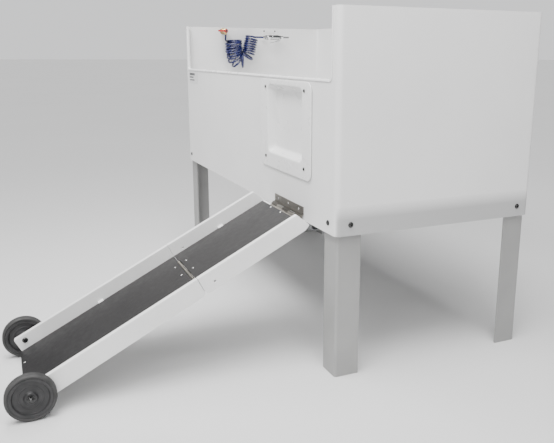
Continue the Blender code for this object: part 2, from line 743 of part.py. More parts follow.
def gun_hook():
    """A bent strip with two open cradles, screwed to the left wall."""
    face = LEFT + WALL + GAP
    rear = FRONT + GUN_INSET
    low = GUN_Z - GUN_BODY_R - GAP - HOOK_THICK
    lip = GUN_X + 0.016
    lip_top = GUN_Z + 0.002
    outline = [(face, HOOK_PLATE_TOP), (face, low), (lip + HOOK_THICK, low), (lip + HOOK_THICK, lip_top),
               (lip, lip_top), (lip, low + HOOK_THICK), (face + HOOK_THICK, low + HOOK_THICK),
               (face + HOOK_THICK, HOOK_PLATE_TOP)]
    bm = bmesh.new()
    add_prism(bm, outline, rear + HOOK_ARMS[0], rear + HOOK_ARMS[3], "Y")
    hook = make("gun_hook", bm, steel())
    bm = bmesh.new()
    add_box(bm, (face - 0.01, rear + HOOK_ARMS[1], low - 0.01), (lip + 0.02, rear + HOOK_ARMS[2], HOOK_ARM_TOP))
    cut(hook, "hook_gap_cutter", bm)


# ---------------------------------------------------------------- hinges

def knuckle_span(number):
    """Return the ends in x of one knuckle."""
    step = HINGE_LENGTH / KNUCKLES
    start = RAMP_X - HINGE_LENGTH / 2 + number * step
    return start, start + step


def barrel_outline(centre, leaf, thickness):
    """A hinge leaf's end view: a flat leaf that runs into a round barrel.

    centre is the pin; leaf is the pair (direction along the leaf, its normal), both unit vectors.
    """
    along, normal = leaf
    low, high = thickness
    outline = [centre + along * HINGE_LEAF + normal * high, centre + along * HINGE_LEAF + normal * low]
    first = math.asin(low / BARREL_R)
    last = math.asin(high / BARREL_R) - 2 * math.pi
    for i in range(13):
        angle = first + (last - first) * i / 12
        outline.append(centre + along * (BARREL_R * math.cos(angle)) + normal * (BARREL_R * math.sin(angle)))
    return [tuple(point) for point in outline]


def hinge_leaf(name, outline, centre, keeps, mover, gap_box):
    """Extrude a leaf, then cut the other leaf's knuckles and the bore from it."""
    bm = bmesh.new()
    add_prism(bm, outline, RAMP_X - HINGE_LENGTH / 2, RAMP_X + HINGE_LENGTH / 2, "X")
    leaf = make(name, bm, steel(), mover)
    bm = bmesh.new()
    for number in range(KNUCKLES):
        if number in keeps:
            continue
        start, end = knuckle_span(number)
        ease = 0.0004
        low = (start - (0.01 if number == 0 else ease), *gap_box[0])
        high = (end + (0.01 if number == KNUCKLES - 1 else ease), *gap_box[1])
        add_box(bm, low, high)
    cut(leaf, f"{name}_cutter", bm, mover)
    bm = bmesh.new()
    add_rod(bm, HINGE_BORE_R, (RAMP_X - HINGE_LENGTH / 2 - 0.01, *centre), (1, 0, 0), HINGE_LENGTH + 0.02, 12)
    cut(leaf, f"{name}_bore_cutter", bm, mover)


def tank_hinge(swing):
    """The hinge between the tank's front and the ramp."""
    pin = ramp_to_world((0, PIN_S, PIN_H))
    centre = Vector((pin.y, pin.z))
    plate_back = FRONT - GAP
    plate_front = plate_back - LEAF_THICK
    top = SKIRT_Z + 0.049
    joggle = centre.y + 0.0105
    outline = [(plate_back, top), (plate_front, top), (plate_front, joggle + 0.0005),
               (centre.x + 0.0005, centre.y + 0.0075)]
    for i in range(13):
        angle = math.radians(95) + (math.radians(400) - math.radians(95)) * i / 12
        outline.append((centre.x + BARREL_R * math.cos(angle), centre.y + BARREL_R * math.sin(angle)))
    outline.append((centre.x + 0.0058, centre.y + 0.0060))
    outline.append((plate_back, joggle - 0.0005))
    reach = BARREL_R + 0.0009
    gap_box = ((centre.x - reach, centre.y - reach), (FRONT + 0.01, centre.y + 0.0078))
    hinge_leaf("tank_hinge_fixed_leaf", outline, tuple(centre), (0, 2, 4), None, gap_box)

    middle = Vector((PIN_S, PIN_H))
    shape = barrel_outline(middle, (Vector((-1, 0)), Vector((0, 1))), (-0.0013, 0.0012))
    gap_box = ((PIN_S - reach, PIN_H - reach), (PIN_S + reach, PIN_H + reach))
    hinge_leaf("tank_hinge_moving_leaf", shape, tuple(middle), (1, 3), swing, gap_box)

    bm = bmesh.new()
    add_rod(bm, HINGE_PIN_R, (RAMP_X - HINGE_LENGTH / 2, pin.y, pin.z), (1, 0, 0), HINGE_LENGTH, 10)
    make("tank_hinge_pin", bm, steel())


def fold_hinge(swing, fold):
    """The hinge between the ramp's two sections."""
    middle = Vector((FOLD_S, PIN_H))
    reach = BARREL_R + 0.0009
    gap_box = ((FOLD_S - reach, PIN_H - reach), (FOLD_S + reach, PIN_H + reach))
    for name, side, keeps, mover in (("fold_hinge_upper_leaf", 1, (0, 2, 4), swing),
                                     ("fold_hinge_lower_leaf", -1, (1, 3), fold)):
        shape = barrel_outline(middle, (Vector((side, 0)), Vector((0, 1))), (-0.0013, 0.0012))
        hinge_leaf(name, shape, tuple(middle), keeps, mover, gap_box)
    bm = bmesh.new()
    add_rod(bm, HINGE_PIN_R, (RAMP_X - HINGE_LENGTH / 2, FOLD_S, PIN_H), (1, 0, 0), HINGE_LENGTH, 10)
    make("fold_hinge_pin", bm, steel(), swing)


# ---------------------------------------------------------------- ramp

def upper_rail_outline():
    """End cut back at the tank so that the ramp can rise, and relieved below the fold."""
    return [(-0.035, RAIL_LOW), (-0.0135, 0.0130), (-0.0135, 0.0165), (-0.037, RAIL_HIGH),
            (FOLD_S + 2 * GAP, RAIL_HIGH), (FOLD_S + 2 * GAP, PIN_H), (FOLD_S + FOLD_RELIEF, RAIL_LOW)]


def lower_rail_outline():
    """Outline (s, h) of a lower rail, from the fold to the wheels' end."""
    end = RAMP_END_S + 0.005
    return [(FOLD_S - 2 * GAP, RAIL_HIGH), (FOLD_S - 2 * GAP, PIN_H), (FOLD_S - FOLD_RELIEF, RAIL_LOW),
            (end + 0.006, RAIL_LOW), (end, RAIL_LOW + 0.006), (end, RAIL_HIGH - 0.004), (end + 0.004, RAIL_HIGH)]


def rails(swing, fold):
    """Two rails on each ramp section, each with its axle or stowing hole."""
    for side, start in (("left", RAMP_LEFT_X), ("right", RAMP_RIGHT_X - RAIL_THICK)):
        for section, outline, mover in (("upper", upper_rail_outline(), swing),
                                        ("lower", lower_rail_outline(), fold)):
            bm = bmesh.new()
            add_prism(bm, outline, start, start + RAIL_THICK, "X")
            rail = make(f"{section}_rail_{side}", bm, white_plastic(), mover)
            hole = STOW_HOLE if section == "upper" else (AXLE_S, AXLE_H)
            radius = 0.0040 if section == "upper" else AXLE_HOLE_R
            bm = bmesh.new()
            add_rod(bm, radius, (start - 0.01, *hole), (1, 0, 0), RAIL_THICK + 0.02, 12)
            cut(rail, f"{section}_rail_{side}_cutter", bm, mover)


def section_layout():
    """Return (section, top end, bottom end, hinge places) of both ramp sections."""
    upper = ("upper", -0.0135, FOLD_S + 2 * GAP, ((PIN_S, -1), (FOLD_S, 1)))
    lower = ("lower", FOLD_S - 2 * GAP, RAMP_END_S, ((FOLD_S, -1),))
    return upper, lower


def decks_and_mats(swing, fold):
    """Each section's white deck board and the rubber mat on it."""
    left = RAMP_LEFT_X + RAIL_THICK + GAP
    right = RAMP_RIGHT_X - RAIL_THICK - GAP
    for (section, top_s, end_s, hinges), mover in zip(section_layout(), (swing, fold)):
        if section == "upper":
            outline = [(top_s, DECK_TOP), (top_s, RAIL_LOW + 0.004), (top_s - 0.004, RAIL_LOW),
                       (end_s + FOLD_RELIEF, RAIL_LOW), (end_s, PIN_H), (end_s, DECK_TOP)]
        else:
            outline = [(top_s, DECK_TOP), (top_s, PIN_H), (top_s - FOLD_RELIEF, RAIL_LOW),
                       (end_s + 0.004, RAIL_LOW), (end_s, RAIL_LOW + 0.004), (end_s, DECK_TOP)]
        bm = bmesh.new()
        add_prism(bm, outline, left, right, "X")
        deck = make(f"{section}_deck", bm, white_plastic(), mover)
        bm = bmesh.new()
        for pin_s, side in hinges:
            reach = sorted((pin_s - side * 0.004, pin_s + side * (HINGE_LEAF + 0.0005)))
            add_box(bm, (RAMP_X - HINGE_LENGTH / 2 - 0.0005, reach[0], PIN_H - 0.0013 - GAP),
                    (RAMP_X + HINGE_LENGTH / 2 + 0.0005, reach[1], DECK_TOP + 0.01))
        cut(deck, f"{section}_deck_cutter", bm, mover)
        bm = bmesh.new()
        for pin_s, _ in hinges:
            add_box(bm, (RAMP_X - HINGE_LENGTH / 2 - 0.0005, pin_s - 0.0064, RAIL_LOW - 0.01),
                    (RAMP_X + HINGE_LENGTH / 2 + 0.0005, pin_s + 0.0064, DECK_TOP + 0.02))
        cut(deck, f"{section}_barrel_cutter", bm, mover)

        bm = bmesh.new()
        add_box(bm, (left + 0.001, end_s, DECK_TOP + GAP), (right - 0.001, top_s, MAT_TOP))
        mat = make(f"{section}_mat", bm, rubber(), mover)
        bm = bmesh.new()
        add_box(bm, (RAMP_X - HINGE_LENGTH / 2 - 0.0005, FOLD_S - 0.0062, DECK_TOP - 0.01),
                (RAMP_X + HINGE_LENGTH / 2 + 0.0005, FOLD_S + 0.0062, MAT_TOP + 0.01))
        cut(mat, f"{section}_mat_cutter", bm, mover)


def wheels(fold):
    """Two dished wheels, each on an axle bolt fixed in its rail."""
    half = WHEEL_WIDTH / 2
    for side, face, out in (("left", RAMP_LEFT_X, -1), ("right", RAMP_RIGHT_X, 1)):
        direction = (out, 0, 0)

        def spot(distance):
            return (face + out * distance, AXLE_S, AXLE_H)
        inner = GAP + SPACER + GAP
        spin = Mover(f"{side}_wheel_axis", spot(inner + half), fold)
        rim = WHEEL_R - TYRE_DEPTH
        hub_profile = ((AXLE_HOLE_R, -half), (0.020, -half), (0.022, -0.005), (rim - 0.010, -0.005),
                       (rim - 0.008, -0.0135), (rim, -0.0135), (rim, 0.0135), (rim - 0.008, 0.0135),
                       (rim - 0.010, 0.005), (0.022, 0.005), (0.020, half), (AXLE_HOLE_R, half))
        bm = bmesh.new()
        add_turned(bm, hub_profile, spot(inner + half), direction, 32, ring=True)
        make(f"{side}_wheel_hub", bm, wheel_plastic(), spin)
        tyre_profile = ((rim + GAP, -0.0130), (rim + 0.005, -half), (WHEEL_R - 0.003, -half),
                        (WHEEL_R, -half + 0.004), (WHEEL_R, half - 0.004), (WHEEL_R - 0.003, half),
                        (rim + 0.005, half), (rim + GAP, 0.0130))
        bm = bmesh.new()
        add_turned(bm, tyre_profile, spot(inner + half), direction, 32, ring=True)
        make(f"{side}_tyre", bm, tyre_rubber(), spin)

        head = -RAIL_THICK
        end = inner + WHEEL_WIDTH + AXLE_TAIL
        bm = bmesh.new()
        add_turned(bm, ((0, head - 0.006), (0.0070, head - 0.006), (0.0100, head - 0.003),
                        (0.0100, head - GAP), (AXLE_R, head - GAP), (AXLE_R, end - 0.0015),
                        (0.0045, end), (0, end)), (face, AXLE_S, AXLE_H), direction, 12)
        make(f"{side}_axle_bolt", bm, bolt_steel(), fold)


def main():
    for obj in list(bpy.data.objects):
        bpy.data.objects.remove(obj)
    swing = Mover("ramp_swing_axis", (0, PIN_S, PIN_H))
    fold = Mover("ramp_fold_axis", (0, FOLD_S, PIN_H), swing)
    tank_shell()
    rim_trim()
    tank_floor()
    floor_ribs()
    legs()
    leg_bolts()
    cover()
    data_plate()
    drain()
    inlet()
    hose()
    spray_gun()
    gun_hook()
    tank_hinge(swing)
    fold_hinge(swing, fold)
    rails(swing, fold)
    decks_and_mats(swing, fold)
    wheels(fold)
    bpy.context.view_layer.update()


main()
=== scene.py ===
"""Looks of a raised wash tank with a folding wheeled ramp and a curly wash-down hose.

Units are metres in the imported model's frame. Places come from the frame's boxes and joints. Ramp
pieces are drawn in the ramp's own frame (x across, s up the slope, h square to the deck). Pairs
of numbers for a place on the left wall are (distance behind the tank's front, height).
"""

import json
import math

import bmesh
import bpy
from mathutils import Matrix, Vector


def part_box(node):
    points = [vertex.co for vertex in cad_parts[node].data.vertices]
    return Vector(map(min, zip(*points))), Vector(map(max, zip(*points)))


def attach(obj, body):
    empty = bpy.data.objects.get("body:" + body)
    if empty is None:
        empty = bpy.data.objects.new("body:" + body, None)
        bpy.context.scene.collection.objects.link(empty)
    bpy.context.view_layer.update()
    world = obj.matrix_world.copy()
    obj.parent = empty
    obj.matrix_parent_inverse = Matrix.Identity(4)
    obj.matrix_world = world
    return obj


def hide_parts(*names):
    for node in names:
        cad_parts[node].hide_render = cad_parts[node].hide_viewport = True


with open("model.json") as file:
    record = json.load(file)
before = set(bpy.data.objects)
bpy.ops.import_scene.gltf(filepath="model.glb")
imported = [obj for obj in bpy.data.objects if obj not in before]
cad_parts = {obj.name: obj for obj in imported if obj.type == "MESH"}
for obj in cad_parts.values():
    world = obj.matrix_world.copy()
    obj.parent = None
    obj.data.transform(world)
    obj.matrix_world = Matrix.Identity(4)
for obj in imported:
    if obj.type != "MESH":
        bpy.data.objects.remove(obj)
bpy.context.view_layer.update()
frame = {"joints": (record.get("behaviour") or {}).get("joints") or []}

# Clearance between neighbouring pieces
GAP = 0.0003

# Tank
(LEFT, FRONT, SKIRT_Z), (RIGHT, BACK, WALL_TOP_Z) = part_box("tank_shell")
RIM_Z = 1.00
WALL = 0.010
CORNER_R = 0.020
FRONT_FLANGE = 0.036
OPENING_R = 0.022
TRIM_WIDTH = 0.016
TRIM_HEIGHT = 0.010
FLOOR_THICK = 0.010
FLOOR_RIGHT_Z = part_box("tank_floor")[0].z + FLOOR_THICK
FLOOR_FALL = 0.0124
RIBS = ("floor_rib_1", "floor_rib_2")
WELD = 0.006
LEG_FLANGE = 0.090
LEG_THICK = 0.008
LEG_BOLT_INSET = 0.055
LEG_BOLT_Z = 0.537
M8_HOLE_R = 0.0044
INLET_HOLE_R = 0.0110

# Recessed cover and data plate, as (x, z)
COVER_CENTRE = (0.485, 0.8165)
COVER_SIZE = (0.466, 0.337)
COVER_CORNER_R = 0.030
COVER_THICK = 0.004
COVER_HOLE_R = 0.0028
SEAL_THICK = 0.0018
POCKET_CENTRE = (0.485, 0.835)
POCKET_MOUTH = (0.320, 0.260)
POCKET_CORNER_R = 0.024
POCKET_DEPTH = 0.030
POCKET_DRAFT = 0.018

# Drain
DRAIN_LOW, DRAIN_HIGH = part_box("drain_strainer")
DRAIN_X = (DRAIN_LOW.x + DRAIN_HIGH.x) / 2
DRAIN_Y = (DRAIN_LOW.y + DRAIN_HIGH.y) / 2
DRAIN_Z = (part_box("drain_union")[0].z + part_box("drain_union")[1].z) / 2
DRAIN_HOLE_R = 0.026
DRAIN_BEND = 0.030
DRAIN_PIPE_R = 0.0236
DRAIN_BORE_R = 0.0205

# Ramp
RAMP_SLOPE = math.radians(27.0)
RAMP_PLACE = Matrix.Translation((0, FRONT, SKIRT_Z)) @ Matrix.Rotation(RAMP_SLOPE, 4, "X")
RAMP_LEFT_X = 0.300
RAMP_RIGHT_X = 0.740
RAMP_X = (RAMP_LEFT_X + RAMP_RIGHT_X) / 2
RAIL_THICK = 0.018
DECK_LEFT = RAMP_LEFT_X + RAIL_THICK + GAP
DECK_RIGHT = RAMP_RIGHT_X - RAIL_THICK - GAP
RAIL_LOW = 0.004
RAIL_HIGH = 0.070
DECK_TOP = 0.016
MAT_THICK = 0.004
MAT_TOP = DECK_TOP + GAP + MAT_THICK
MAT_SETBACK = 0.008
PIN_S = -0.006
PIN_H = 0.0145
FOLD_S = -0.432
FOLD_RELIEF = 0.013
RAMP_END_S = -1.069
AXLE_S = -1.033
STOW_HOLE = (-0.386, 0.030)
STOW_HOLE_R = 0.0040
HINGE_LENGTH = 0.266
HINGE_LEAF = 0.036
BARREL_R = 0.0055
PIN_R = 0.0026
PIN_BORE_R = 0.0029
KNUCKLES = 5
HINGE_SCREWS = (-0.095, 0.0, 0.095)

# Wheels
WHEEL_R = 0.075
WHEEL_HALF = 0.015
TYRE_DEPTH = 0.011
AXLE_R = 0.006
AXLE_HOLE_R = 0.0064

# Hose; COIL has (turns so far, centre of the turn, its tilt in degrees, its radius, its lean from
# the wall in degrees)
HOSE_X = -0.8395
HOSE_R = 0.005
INLET_Y = (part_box("inlet_bulkhead")[0].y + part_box("inlet_bulkhead")[1].y) / 2
EXIT = (HOSE_X, INLET_Y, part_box("hose_from_inlet")[1].z)
LEAD_BEND = 0.030
LEAD_TURN = math.radians(84)
COIL = ((0.10, 0.2515, 1.1500, 4, 0.0430, 0), (0.85, 0.2517, 1.1385, 11, 0.0430, 10),
        (2.60, 0.2526, 1.1160, 16, 0.0430, 16), (4.40, 0.2543, 1.0930, 20, 0.0430, 18),
        (6.10, 0.2570, 1.0710, 26, 0.0430, 20), (7.30, 0.2625, 1.0530, 35, 0.0430, 21),
        (8.20, 0.2765, 1.0440, 58, 0.0420, 19), (8.95, 0.2980, 1.0470, 92, 0.0395, 14),
        (9.65, 0.3200, 1.0590, 132, 0.0360, 8), (10.25, 0.3355, 1.0750, 157, 0.0325, 2),
        (13.75, 0.3475, 1.1195, 164, 0.0320, 0), (17.75, 0.3600, 1.1692, 164, 0.0320, 0))
TURN_STEPS = 44
GUN_LOW, GUN_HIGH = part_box("spray_gun_body")
GUN_X = (GUN_LOW.x + GUN_HIGH.x) / 2
GUN_Z = (GUN_LOW.z + GUN_HIGH.z) / 2
GUN_REAR = GUN_LOW.y
HOOK_TOP = 1.213
HOOK_THICK = 0.002

# Camera, angles in degrees
CAMERA_PLACE = (2.7175, -0.8375, 1.0726)
CAMERA_HEADING = 65.77
CAMERA_DIP = 13.24
CAMERA_ROLL = 0.21
CAMERA_LENS = 42.76
CAMERA_SHIFT = (-0.0415, -0.0208)

# Studio: world brightness at the horizon and overhead; sun strength; (lamp, place, target, size, watts)
STAGE_REACH = 150
HORIZON = 1.02
CEILING = 0.20
SUN = 3.6
SUN_FROM = (0.20, -0.22, 1.0)
SUN_SPREAD = math.radians(40)
LAMPS = (("front", (0.2, -0.80, 2.5), (0.2, 0.1, 0.8), (2.4, 0.6), 56),
         ("right", (2.0, 0.1, 2.5), (0.9, 0.4, 0.8), (0.6, 1.6), 26),
         ("ramp", (2.6, -2.0, 2.2), (0.3, -0.4, 0.3), (1.6, 1.6), 45))


# ---------------------------------------------------------------- outlines

def fillet(before, corner, after, radius, steps=6):
    """Return the points of an arc that rounds a corner."""
    before, corner, after = Vector(before), Vector(corner), Vector(after)
    if radius <= 0:
        return [tuple(corner)]
    back = (before - corner).normalized()
    onward = (after - corner).normalized()
    half = back.angle(onward) / 2
    centre = corner + (back + onward).normalized() * (radius / math.sin(half))
    first = corner + back * (radius / math.tan(half)) - centre
    last = corner + onward * (radius / math.tan(half)) - centre
    turn = first.angle(last)
    points = []
    for i in range(steps + 1):
        share = i / steps
        spoke = (first * math.sin((1 - share) * turn) + last * math.sin(share * turn)) / math.sin(turn)
        points.append(tuple(centre + spoke))
    return points


def rounded(points, closed=True, steps=6):
    """Round the corners of an outline of (a, b, radius); a missing radius keeps the corner."""
    line = []
    count = len(points)
    for i, point in enumerate(points):
        corner = point[:2]
        radius = point[2] if len(point) > 2 else 0
        if not closed and i in (0, count - 1):
            line.append(tuple(corner))
            continue
        line += fillet(points[i - 1][:2], corner, points[(i + 1) % count][:2], radius, steps)
    return line


def rounded_rectangle(centre, size, radius, steps=6):
    """Return the outline of a rectangle with round corners, counter-clockwise."""
    half_a, half_b = size[0] / 2, size[1] / 2
    corners = [(centre[0] + a * half_a, centre[1] + b * half_b, radius)
               for a, b in ((1, 1), (-1, 1), (-1, -1), (1, -1))]
    return rounded(corners, True, steps)


def around(segments, reach):
    """Return points round the origin, each at the reach for its angle."""
    angles = [2 * math.pi * i / segments for i in range(segments)]
    return [(reach(angle) * math.cos(angle), reach(angle) * math.sin(angle)) for angle in angles]


def circle_xy(radius, segments):
    """Return points round a circle."""
    return around(segments, lambda angle: radius)


# ---------------------------------------------------------------- bmesh shapes

def join_loops(bm, first, second):
    """Bridge two loops of equal count, or a loop and a single vertex."""
    count = max(len(first), len(second))
    for i in range(count):
        j = (i + 1) % count
        corners = [first[i % len(first)], first[j % len(first)], second[j % len(second)],
                   second[i % len(second)]]
        bm.faces.new(list(dict.fromkeys(corners)))


def add_loft(bm, rings, closed=False):
    """Join rings of equal count, one after another; cap the ends unless closed."""
    loops = [[bm.verts.new(point) for point in ring] for ring in rings]
    pairs = list(zip(loops, loops[1:]))
    if closed:
        pairs.append((loops[-1], loops[0]))
    else:
        bm.faces.new(loops[0])
        bm.faces.new(loops[-1])
    for first, second in pairs:
        join_loops(bm, first, second)


def add_prism(bm, outline, start, end, axis="X"):
    """Extrude a closed outline along an axis."""
    def corner(a, b, t):
        return {"X": (t, a, b), "Y": (a, t, b), "Z": (a, b, t)}[axis]
    add_loft(bm, [[corner(a, b, start) for a, b in outline], [corner(a, b, end) for a, b in outline]])


def add_box(bm, low, high):
    """Add a box between two corners."""
    outline = ((low[0], low[1]), (high[0], low[1]), (high[0], high[1]), (low[0], high[1]))
    add_prism(bm, outline, low[2], high[2], "Z")


def turned_place(point, direction):
    """Return the placement that stands +Z along a direction at a point."""
    spin = Vector((0, 0, 1)).rotation_difference(Vector(direction).normalized())
    return Matrix.Translation(point) @ spin.to_matrix().to_4x4()


def place_ring(bm, place, points, along):
    """Add a ring of vertices at a distance along a placement's axis."""
    return [bm.verts.new(place @ Vector((x, y, along))) for x, y in points]


def join_rings(bm, loops):
    """Bridge loops, one after another."""
    for first, second in zip(loops, loops[1:]):
        join_loops(bm, first, second)


def add_turned(bm, profile, point, direction, segments=32, ring=False, lobes=(0, 0.0)):
    """Turn a profile of (radius, distance[, lobed]) about a line; lobes is (count, share of radius)."""
    place = turned_place(point, direction)
    loops = []
    for radius, along, *lobed in profile:
        depth = lobes[1] if lobed else 0.0

        def reach(angle):
            return radius * (1 - depth * (0.5 - 0.5 * math.cos(lobes[0] * angle)) ** 3)
        points = around(segments, reach) if radius else [(0, 0)]
        loops.append(place_ring(bm, place, points, along))
    join_rings(bm, loops + loops[:1] if ring else loops)


def add_rod(bm, radius, point, direction, length, segments=32):
    """Add a plain round bar, for cutting holes."""
    add_turned(bm, ((0, 0), (radius, 0), (radius, length), (0, length)), point, direction, segments)


def add_sweep(bm, frames, section, closed=False):
    """Sweep a section of (across, up) along frames of (point, across, up)."""
    rings = []
    for i, (point, across, up) in enumerate(frames):
        rings.append([point + across * a + up * b for a, b in section(i)])
    add_loft(bm, rings, closed)


def drive_radius(kind, size, angle):
    """Radius at an angle of a hexagon (size across flats / 2) or of a cross (size is its reach)."""
    if kind == "hex":
        return size / math.cos((angle + math.pi / 6) % (math.pi / 3) - math.pi / 6)
    folded = (angle + math.pi / 4) % (math.pi / 2) - math.pi / 4
    return min(size / math.cos(folded), 0.28 * size / max(abs(math.sin(folded)), 1e-6))


def add_driven_head(bm, profile, kind, size, depth, point, direction, segments=36):
    """Turn a screw's profile, then sink its drive into the top of its head."""
    place = turned_place(point, direction)
    loops = []
    for radius, along in profile:
        points = circle_xy(radius, segments) if radius else [(0, 0)]
        loops.append(place_ring(bm, place, points, along))
    top = profile[-1][1]
    for share, along in ((1.0, top), (0.97, top - depth)):
        drive = around(segments, lambda angle: drive_radius(kind, size, angle) * share)
        loops.append(place_ring(bm, place, drive, along))
    loops.append(place_ring(bm, place, [(0, 0)], top - depth * 1.15))
    join_rings(bm, loops)


def add_button_screw(bm, point, direction, head_r, head_h, shank_r, shank, kind="hex"):
    """A domed screw with its drive; the head sits at the point."""
    profile = [(0, -shank), (shank_r * 0.8, -shank), (shank_r, -shank + 0.2 * shank_r), (shank_r, GAP),
               (head_r, GAP), (head_r, GAP + 0.08 * head_h)]
    for i in range(1, 6):
        angle = math.radians(14 * i)
        profile.append((head_r * (0.42 + 0.58 * math.cos(angle)),
                        GAP + head_h * (0.10 + 0.90 * math.sin(angle))))
    size = head_r * (0.34 if kind == "hex" else 0.46)
    add_driven_head(bm, profile, kind, size, head_h * 0.62, point, direction)


def add_flat_screw(bm, point, direction, head_r, proud=0.0006):
    """A countersunk screw's head as it shows in a hinge leaf, with a short stub below."""
    profile = ((0, -0.0016), (head_r * 0.45, -0.0016), (head_r, -0.0001), (head_r, proud * 0.4),
               (head_r * 0.93, proud * 0.85), (head_r * 0.62, proud))
    add_driven_head(bm, profile, "cross", head_r * 0.50, 0.0012, point, direction)


def add_washer(bm, inner, outer, thick, point, direction):
    """A flat washer with eased edges."""
    ease = thick * 0.22
    profile = rounded(((inner, 0, ease), (outer, 0, ease), (outer, thick, ease), (inner, thick, ease)),
                      True, 2)
    add_turned(bm, profile, point, direction, 40, ring=True)


def add_nut(bm, flat, height, bore, point, direction, collar=0.0):
    """A hexagon nut with chamfered corners, and a round locking collar if it has one."""
    place = turned_place(point, direction)
    segments = 48
    corner = flat / math.cos(math.pi / 6)
    ease = corner - flat
    loops = []
    for limit, along in ((flat * 0.985, 0), (corner, ease * 0.6), (corner, height - ease * 0.6),
                         (flat * 0.985, height)):
        hexagon = around(segments, lambda angle: min(drive_radius("hex", flat, angle), limit))
        loops.append(place_ring(bm, place, hexagon, along))
    inner = [(bore * 1.18, height)]
    if collar:
        ring = flat * 0.86
        inner = [(ring, height), (ring, height + collar * 0.7), (ring * 0.9, height + collar),
                 (bore * 1.05, height + collar)]
    inner += [(bore, height - 0.0006), (bore, 0.0006), (bore * 1.15, 0)]
    for radius, along in inner:
        loops.append(place_ring(bm, place, circle_xy(radius, segments), along))
    join_rings(bm, loops + loops[:1])


def solid(add, *args, **named):
    """Return a bmesh that holds one shape, made by one of the functions above."""
    bm = bmesh.new()
    add(bm, *args, **named)
    return bm


def solids(add, calls):
    """Return a bmesh that holds one shape for each set of arguments."""
    bm = bmesh.new()
    for arguments in calls:
        add(bm, *arguments)
    return bm


# ---------------------------------------------------------------- objects

def raw_object(name, bm, place=None):
    """Turn a bmesh into a linked object with its faces pointing out."""
    bmesh.ops.recalc_face_normals(bm, faces=bm.faces)
    if place:
        bmesh.ops.transform(bm, matrix=place, verts=bm.verts)
    mesh = bpy.data.meshes.new(name)
    bm.to_mesh(mesh)
    bm.free()
    obj = bpy.data.objects.new(name, mesh)
    bpy.context.scene.collection.objects.link(obj)
    return obj


def settle(obj):
    """Replace an object's mesh by its evaluated one."""
    graph = bpy.context.evaluated_depsgraph_get()
    mesh = bpy.data.meshes.new_from_object(obj.evaluated_get(graph))
    obj.modifiers.clear()
    obj.data = mesh


def carve(obj, bm, place=None, operation="DIFFERENCE"):
    """Cut a shape away from an object, or join it."""
    tool = raw_object("carver", bm, place)
    boolean = obj.modifiers.new("carve", "BOOLEAN")
    boolean.operation = operation
    boolean.solver = "EXACT"
    boolean.object = tool
    settle(obj)
    bpy.data.objects.remove(tool)


def dress(obj, look, body, replaces=(), bevel=0.0, sharp=35):
    """Give an object eased edges, its material, the body that it rides on and what it stands for."""
    obj.data.shade_smooth()
    obj.data.set_sharp_from_angle(angle=math.radians(sharp))
    if bevel:
        ease = obj.modifiers.new("eased_edges", "BEVEL")
        ease.width = bevel
        ease.segments = 2
        ease.limit_method = "ANGLE"
        ease.angle_limit = math.radians(sharp)
        flat = obj.modifiers.new("flat_faces", "WEIGHTED_NORMAL")
        flat.keep_sharp = False
        settle(obj)
    obj.data.materials.clear()
    obj.data.materials.append(look)
    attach(obj, body)
    if replaces:
        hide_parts(*([replaces] if isinstance(replaces, str) else replaces))
    return obj


def piece(name, bm, look, body, replaces=(), bevel=0.0, place=None, sharp=35):
    """Make one finished piece from a bmesh."""
    return dress(raw_object(name, bm, place), look, body, replaces, bevel, sharp)


# ---------------------------------------------------------------- materials

